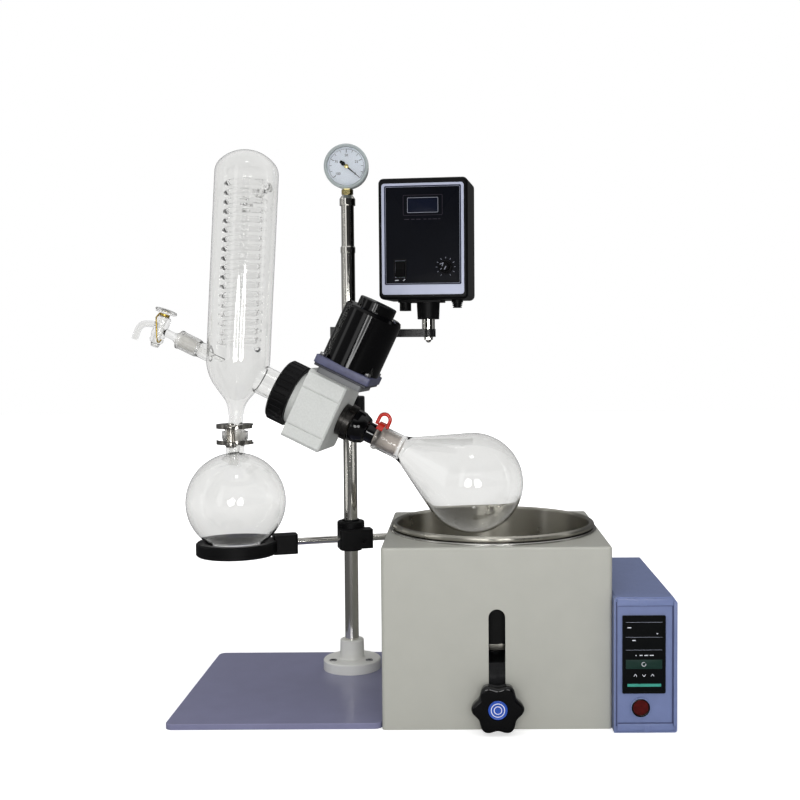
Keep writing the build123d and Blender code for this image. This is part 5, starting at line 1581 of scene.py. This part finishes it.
@dataclass(frozen=True)
class LiftKnob:
    """The pot's lift knob: six broad soft lobes on a neck, washer and stud, with a badge in its face."""

    z: float = 31.5
    front: float = -236.0
    grip_r: float = 31.3
    lobe: float = 2.7
    lobes: int = 6
    roll: float = 5.0
    back: float = 12.0
    face: float = 26.0
    dish: float = 24.8
    ring_w: float = 0.9
    steps: int = 180

    def place(self) -> Frame:
        """The knob's drawing plane, on the bath's front below the pot's middle."""
        return facing(ROW, LAYOUT.pot_xy[0], self.front, self.z)

    def build(self) -> None:
        """Sets the grip and its badge."""
        self.grip()
        place = self.place()
        badge = rounded([(0, 24.9), (11.3, 24.9), (11.3, 25.6), (10.7, 26.0), (9.6, 25.7), (0, 25.7)], 0.2, 3)
        shell = Shell.new().add(place, lathe(badge, 72))
        for r in (4.0, 7.4):
            wide = r + self.ring_w
            line = np.array([(r, 25.6), (wide, 25.6), (wide, 25.85), (r, 25.85)])
            shell.add(place, lathe(line, 72), wrap_rows=True, finish=1)
        Kit.fit(shell.make("knob_badge"), "lift_grip", "black_gloss", [BADGE_BLUE, PRINT_WHITE])

    def grip(self) -> None:
        """Moulds the grip, and adds its neck, washer and stud.

        Its outline is r = a + b cos 6t. The face rolls over to the flank by a quarter of a circle, and dips
        to the middle where the badge lies.
        """
        place = self.place()
        t = np.linspace(0.0, TAU, self.steps, endpoint=False)
        reach = self.grip_r - self.lobe + self.lobe * np.cos(self.lobes * t)
        roll = np.linspace(0.0, math.pi / 2, 9)
        inset = np.concatenate([[1.5, 0.4], self.roll * (1 - np.cos(roll))])
        height = np.concatenate([[self.back, 13.0], self.face - self.roll * (1 - np.sin(roll))])
        r = reach[None] - inset[:, None]
        flank = np.stack([r * np.cos(t), r * np.sin(t), np.broadcast_to(height[:, None], r.shape)], axis=-1)
        dip = lathe(np.array([(12.0, 25.8), (11.4, self.dish)]), len(t))
        back, middle = ([[(0.0, 0.0, z)] * len(t)] for z in (self.back, self.dish))
        knob = Shell.new().add(place, np.concatenate([back, flank, dip, middle]))
        neck = rounded([(0, 1.2), (15, 1.2), (13, 12.5), (0, 12.5)], 0.6, 3)
        knob.add(place, lathe(neck, 64))
        stud = np.array([(0, -18), (4, -18), (4, 0.3), (17, 0.3), (17, 1.3), (0, 1.3)])
        knob.add(place, lathe(stud, 64), finish=1)
        Kit.fit(knob.make("lobed_grip"), "lift_grip", "black_gloss", [PHENOLIC, STEEL], ["lift_knob"])


@dataclass(frozen=True)
class ControllerPanel:
    """The controller's display face with its keys and lines, the folds round it, and the rocker's bezel."""

    face_y: float = -251.1
    left: float = 343.0
    top: float = 140.2
    width: float = 50.8
    rocker: tuple[float, float, float] = (364.8, -250.0, 30.0)
    sunk: float = -0.02
    ink: float = 0.14
    foil: float = 0.16
    key_row: float = -58.0
    strip_low: float = -1.2
    gap_top: float = -1.0

    def build(self) -> None:
        """Prints the display's fields from the top down."""
        place = facing(ROW, self.left, self.face_y, self.top)
        middle = self.width / 2
        middles = np.array([(middle, -8.0), (middle, -25.8), (middle, -41.0), (middle, -61.8)])
        lines = Shell.new().add_bars(place, middles, 0.0, 43.0, 0.35, self.sunk, self.ink)
        Kit.fit(lines.make("display_lines"), "stand", "display_black", [PRINT_GREY])
        band = prism(rounded_rect(42.8, 11.0, 0.4), self.sunk, self.foil, 0.05)
        Kit.lay("key_band", place.moved(middle, self.key_row), band, "stand", "display_black", DISPLAY_GREEN)
        self.folds(place)
        self.bezel()
        spots = np.array([(13.0, -83.0), (32.6, -83.0)])
        teal = Shell.new().add_bars(place, spots, 0.0, np.array([14.0, 26.0]), 3.4, self.sunk, self.foil)
        Kit.fit(teal.make("teal_strips"), "stand", "display_black", [DISPLAY_TEAL])
        self.marks(place)

    def folds(self, place: Frame) -> None:
        """Folds the sheet round the panel: strips above, below and at the right, and painted shade in the
        gaps.

        A strip is (x, y, width, height, face) and a gap (x, y, angle, length, width).

        Args:
            place: the display's top left corner.
        """
        raised, flush = 0.3, 0.0
        strips = Shell.new()
        for x, y, w, h, face in (
            (27.0, 15.6, 66.0, 8.4, flush), (27.0, -133.4, 65.4, 8.6, flush),
            (62.4, -58.0, 3.6, 148.0, raised), (24.6, 15.6, 8.4, 8.6, raised),
            (30.0, -135.0, 7.0, 9.0, raised),
        ):
            strips.add(place.moved(x, y), prism(rounded_rect(w, h, 0.8), self.strip_low, face, 0.3))
        Kit.fit(strips.make("folded_edges"), "stand", "violet_paint", [VIOLET_PAINT])
        # The gaps are dark violet bars: painted shade where the folds meet the panel
        gap = np.array([(59.6, -58.0, 90.0, 148.0, 1.6), (-6.8, -58.0, 90.0, 148.0, 1.8),
                        (27.0, 11.1, 0.0, 64.0, 0.8), (27.0, -128.6, 0.0, 64.0, 0.9)])
        gaps = Shell.new().add_bars(place, gap[:, :2], gap[:, 2], gap[:, 3], gap[:, 4], self.strip_low,
                                    self.gap_top)
        Kit.fit(gaps.make("fold_gaps"), "stand", "violet_paint", [FOLD_GAP_SHADE])

    def bezel(self) -> None:
        """Turns the round rocker's dark surround."""
        ring = rounded([(9.0, -0.2), (11.2, -0.2), (11.2, 1.2), (10.4, 2.0), (9.2, 1.8), (9.0, 1.0)], 0.4, 4,
                       closed=True)
        Kit.lay("rocker_bezel", facing(ROW, *self.rocker), lathe(ring, 64), "stand", "black_gloss", PHENOLIC,
                closed=True)

    def marks(self, place: Frame) -> None:
        """Prints small plain marks: value labels and lamps in a row, a round key and three arrow keys.

        A label is (x, y, length) and an arrow's stroke (x, y, angle).

        Args:
            place: the display's top left corner.
        """
        labels = np.array([(8.0, -14.4, 4.6), (41.0, -21.6, 1.6), (13.6, -29.6, 4.0), (16.0, -47.4, 1.2),
                           (22.0, -47.4, 3.2), (28.0, -47.4, 4.2), (34.5, -47.4, 4.6)])
        arrows = np.array([(14.4, -71.0, 55.0), (16.2, -71.0, 125.0), (24.6, -71.6, 125.0),
                           (26.4, -71.6, 55.0), (34.6, -71.0, 55.0), (36.4, -71.0, 125.0)])
        shell = Shell.new()
        shell.add_bars(place, labels[:, :2], 0.0, labels[:, 2], 1.1, self.sunk, self.ink)
        shell.add(place.moved(25.2, self.key_row), arc_strip(2.0, 2.6, 60, 380, 0.1, 0.26))
        shell.add_bars(place, arrows[:, :2], arrows[:, 2], 3.2, 0.6, self.sunk, self.ink)
        Kit.fit(shell.make("display_marks"), "stand", "dial_white", [PRINT_WHITE])


# Studio


class Glow(Enum):
    """How a round lamp's face shines."""

    EVEN = "even"
    RING = "ring"


@dataclass(frozen=True)
class Lamp:
    """One round soft lamp: where it hangs, what it looks at, its size and power, and its face."""

    name: str
    place: tuple[float, float, float]
    aim: tuple[float, float, float]
    size: float
    power: float
    glow: Glow = Glow.EVEN


@dataclass(frozen=True)
class Studio:
    """The camera, the pale floor, the surround and the soft lamps.

    The camera and the floor are placed in millimetres, the lamps and the floor's fade in metres. `ambient`
    and `overhead` light the object from the side and from above. A wall is (compass angle, brightness) as
    shiny parts mirror it, under the `ceiling`, and `through` is what glass shows ahead and behind. A name
    that ends in `_span` gives the two ends between which one level gives way to the next.
    """

    lens: float = 49.47
    sensor: float = 36.0
    camera_at: tuple[float, float, float] = (154.0, -1527.9, 456.5)
    pitch: float = 0.0483
    roll: float = -0.0058
    shift: float = -0.0753
    ambient: float = 0.28
    overhead: float = 1.2
    overhead_span: tuple[float, float] = (0.2, 1.0)
    ceiling: float = 0.75
    ceiling_span: tuple[float, float] = (0.45, 0.75)
    walls: tuple[tuple[float, float], ...] = (
        (-180, 0.14), (-140, 0.14), (-118, 0.3), (-104, 0.3), (-80, 0.28), (-76, 1.6), (-68, 1.6),
        (-64, 0.26), (-40, 0.2), (-34, 0.22), (-31, 1.9), (-22, 1.9), (-19, 0.03), (60, 0.02), (82, 0.03),
        (85, 1.2), (90, 1.2), (93, 0.05), (112, 0.05), (150, 0.12), (180, 0.14),
    )
    through: tuple[float, float] = (0.62, 0.88)
    through_span: tuple[float, float] = (-0.5, 0.35)
    floor_half: float = 6000.0
    floor_z: float = -0.05
    fade_span: tuple[float, float] = (0.5, 1.6)
    floor_glow: tuple[float, float] = (0.55, 1.0)
    glass_glow: tuple[float, float] = (0.04, 0.34)
    paper: str = "#E6E6E6"
    mirrored_paper: str = "#5A5A5A"
    ring_span: tuple[float, float] = (0.27, 0.37)
    ring_levels: tuple[float, float] = (0.2, 1.7)
    lights: tuple[Lamp, ...] = (
        Lamp("front_left_ring", (-0.15, -1.66, 0.4), (0.0, -0.1, 0.36), 0.42, 4.4, Glow.RING),
        Lamp("front_right_ring", (0.46, -1.66, 0.4), (0.1, -0.1, 0.36), 0.42, 4.4, Glow.RING),
        Lamp("top_lamp", (0.1, -0.9, 2.3), (0.1, 0.0, 0.3), 0.3, 1.2),
    )

    def build(self) -> None:
        """Sets up the camera, floor, surround and lamps."""
        scene = bpy.context.scene
        scene.view_settings.view_transform = "Standard"
        data = bpy.data.cameras.new("front_camera")
        data.lens = self.lens
        data.sensor_width = self.sensor
        data.shift_x = self.shift
        data.clip_end = 30.0
        camera = bpy.data.objects.new("front_camera", data)
        camera.location = [c * MM for c in self.camera_at]
        camera.rotation_mode = "XYZ"
        camera.rotation_euler = (math.pi / 2 - self.pitch, 0.0, 0.0)
        camera.rotation_euler.rotate_axis("Z", self.roll)
        scene.collection.objects.link(camera)
        scene.camera = camera
        self.surround()
        self.floor()
        self.lamps()

    @staticmethod
    def grey(level: float) -> tuple[float, float, float, float]:
        """A neutral colour of one level."""
        return (level, level, level, 1.0)

    @staticmethod
    def blend(tree: bpy.types.NodeTree, share: bpy.types.NodeSocket, low: object,
              high: object) -> bpy.types.NodeSocket:
        """A value that is low where the share is 0 and high where it is 1."""
        return node(tree, "Mix", i0=share, i2=low, i3=high).outputs[0]

    def surround(self) -> None:
        """The backdrop as it is seen, mirrored, looked through and lit by.

        The camera sees white. A mirrored ray finds the walls by its compass angle from the camera's side: a
        dull backdrop, a grey left wall, a dark right side and three tall bright strips, under a ceiling. A
        ray through glass finds a grey that pales towards the back, and a diffuse ray a dim room that
        brightens overhead.
        """
        world = bpy.data.worlds.new("white_surround")
        bpy.context.scene.world = world
        world.use_nodes = True
        tree = world.node_tree
        tree.nodes.clear()
        path = node(tree, "LightPath")
        way = node(tree, "SeparateXYZ", i0=node(tree, "TexCoord").outputs["Generated"])
        to_front = node(tree, "Math", {"operation": "MULTIPLY"}, i0=way.outputs[1], i1=-1.0).outputs[0]
        angle = node(tree, "Math", {"operation": "ARCTAN2"}, i0=way.outputs[0], i1=to_front).outputs[0]
        band = node(tree, "ValToRGB", Fac=ramp(tree, angle, -math.pi, math.pi, 0.0, 1.0))
        peak = max(level for _, level in self.walls)
        stops = band.color_ramp.elements
        stops[0].color = self.grey(self.walls[0][1] / peak)
        stops[-1].color = self.grey(self.walls[-1][1] / peak)
        for degrees, level in self.walls[1:-1]:
            stops.new((degrees + 180.0) / 360.0).color = self.grey(level / peak)
        room = node(tree, "Math", {"operation": "MULTIPLY"}, i0=band.outputs[0], i1=peak).outputs[0]
        up = ramp(tree, way.outputs[2], *self.ceiling_span, 0.0, 1.0)
        room = self.blend(tree, up, room, self.ceiling)
        through = ramp(tree, way.outputs[1], *self.through_span, *self.through)
        soft = ramp(tree, way.outputs[2], *self.overhead_span, self.ambient, self.overhead)
        level = self.blend(tree, path.outputs["Is Glossy Ray"], soft, room)
        level = self.blend(tree, path.outputs["Is Transmission Ray"], level, through)
        level = self.blend(tree, path.outputs["Is Camera Ray"], level, 1.0)
        glow = node(tree, "Background", Color=self.grey(1.0), Strength=level)
        out = node(tree, "OutputWorld")
        tree.links.new(glow.outputs[0], out.inputs["Surface"])

    def floor(self) -> None:
        """A pale plain floor that keeps the shadow near the object and shows white further out.

        What is seen of it is its own lit colour plus a glow that grows with the distance from the middle.
        Through glass the glow is weaker, and in a mirroring part the paper is darker.
        """
        span = np.linspace(-self.floor_half, self.floor_half, 13)
        x, y = np.meshgrid(span, span, indexing="ij")
        sheet = np.stack([x, y, np.full_like(x, self.floor_z)], axis=-1)
        floor = Shell.new().add(ROW, sheet, wrap_columns=False).make("pale_floor", outward=False)
        material = bpy.data.materials.new("pale_floor_paper")
        material.use_nodes = True
        tree = material.node_tree
        tree.nodes.clear()
        path = node(tree, "LightPath")
        place = node(tree, "TexCoord").outputs["Object"]
        away = node(tree, "VectorMath", {"operation": "LENGTH"}, i0=place).outputs["Value"]
        refracted = path.outputs["Is Transmission Ray"]
        behind_glass = self.blend(tree, refracted, 0.0, ramp(tree, away, *self.fade_span, *self.glass_glow))
        seen = ramp(tree, away, *self.fade_span, *self.floor_glow)
        glow = self.blend(tree, path.outputs["Is Camera Ray"], behind_glass, seen)
        mirrored = self.blend(tree, refracted, path.outputs["Is Glossy Ray"], 0.0)
        paper = node(tree, "Mix", {"data_type": "RGBA"}, i0=mirrored, i6=linear(self.paper),
                     i7=linear(self.mirrored_paper)).outputs[2]
        shader = node(tree, "BsdfPrincipled", Base_Color=paper, Roughness=0.8, Emission_Color=self.grey(1.0),
                      Emission_Strength=glow)
        out = node(tree, "OutputMaterial")
        tree.links.new(shader.outputs[0], out.inputs["Surface"])
        floor.data.materials.append(material)

    def lamps(self) -> None:
        """Hangs the lamps and aims them."""
        for lamp in self.lights:
            data = bpy.data.lights.new(lamp.name, "AREA")
            data.shape = "DISK"
            data.size = lamp.size
            data.energy = lamp.power
            if lamp.glow is Glow.RING:
                self.ring(data)
            hung = bpy.data.objects.new(lamp.name, data)
            hung.location = lamp.place
            direction = np.array(lamp.aim) - np.array(lamp.place)
            yaw = math.atan2(direction[0], direction[1])
            tilt = math.atan2(math.hypot(direction[0], direction[1]), -direction[2])
            hung.rotation_euler = (tilt, 0.0, -yaw)
            bpy.context.scene.collection.objects.link(hung)

    def ring(self, data: bpy.types.Light) -> None:
        """Makes a round lamp bright at its rim and dim in its middle.

        Args:
            data: the lamp.
        """
        data.use_nodes = True
        tree = data.node_tree
        tree.nodes.clear()
        spot = node(tree, "NewGeometry").outputs["Parametric"]
        centre = (0.5, 0.5, 0.0)
        away = node(tree, "VectorMath", {"operation": "DISTANCE"}, i0=spot, i1=centre).outputs["Value"]
        glow = node(tree, "Emission", Strength=ramp(tree, away, *self.ring_span, *self.ring_levels))
        out = node(tree, "OutputLight")
        tree.links.new(glow.outputs[0], out.inputs["Surface"])


def main() -> None:
    """Builds the studio and every sub-assembly."""
    logging.basicConfig(level=logging.INFO, format="%(name)s %(message)s")
    Studio().build()
    Kit.finish_solids()
    for assembly in (EvaporatingFlask(), Condenser(), ReceivingFlask(), ForkClamp(), FeedCock(), Gauge(),
                     ControlPanel(), MotorMount(), FlaskGrip(), BathTrim(), LiftKnob(), ControllerPanel()):
        LOG.info("building %s", type(assembly).__name__)
        assembly.build()


if __name__ == "__main__":
    main()
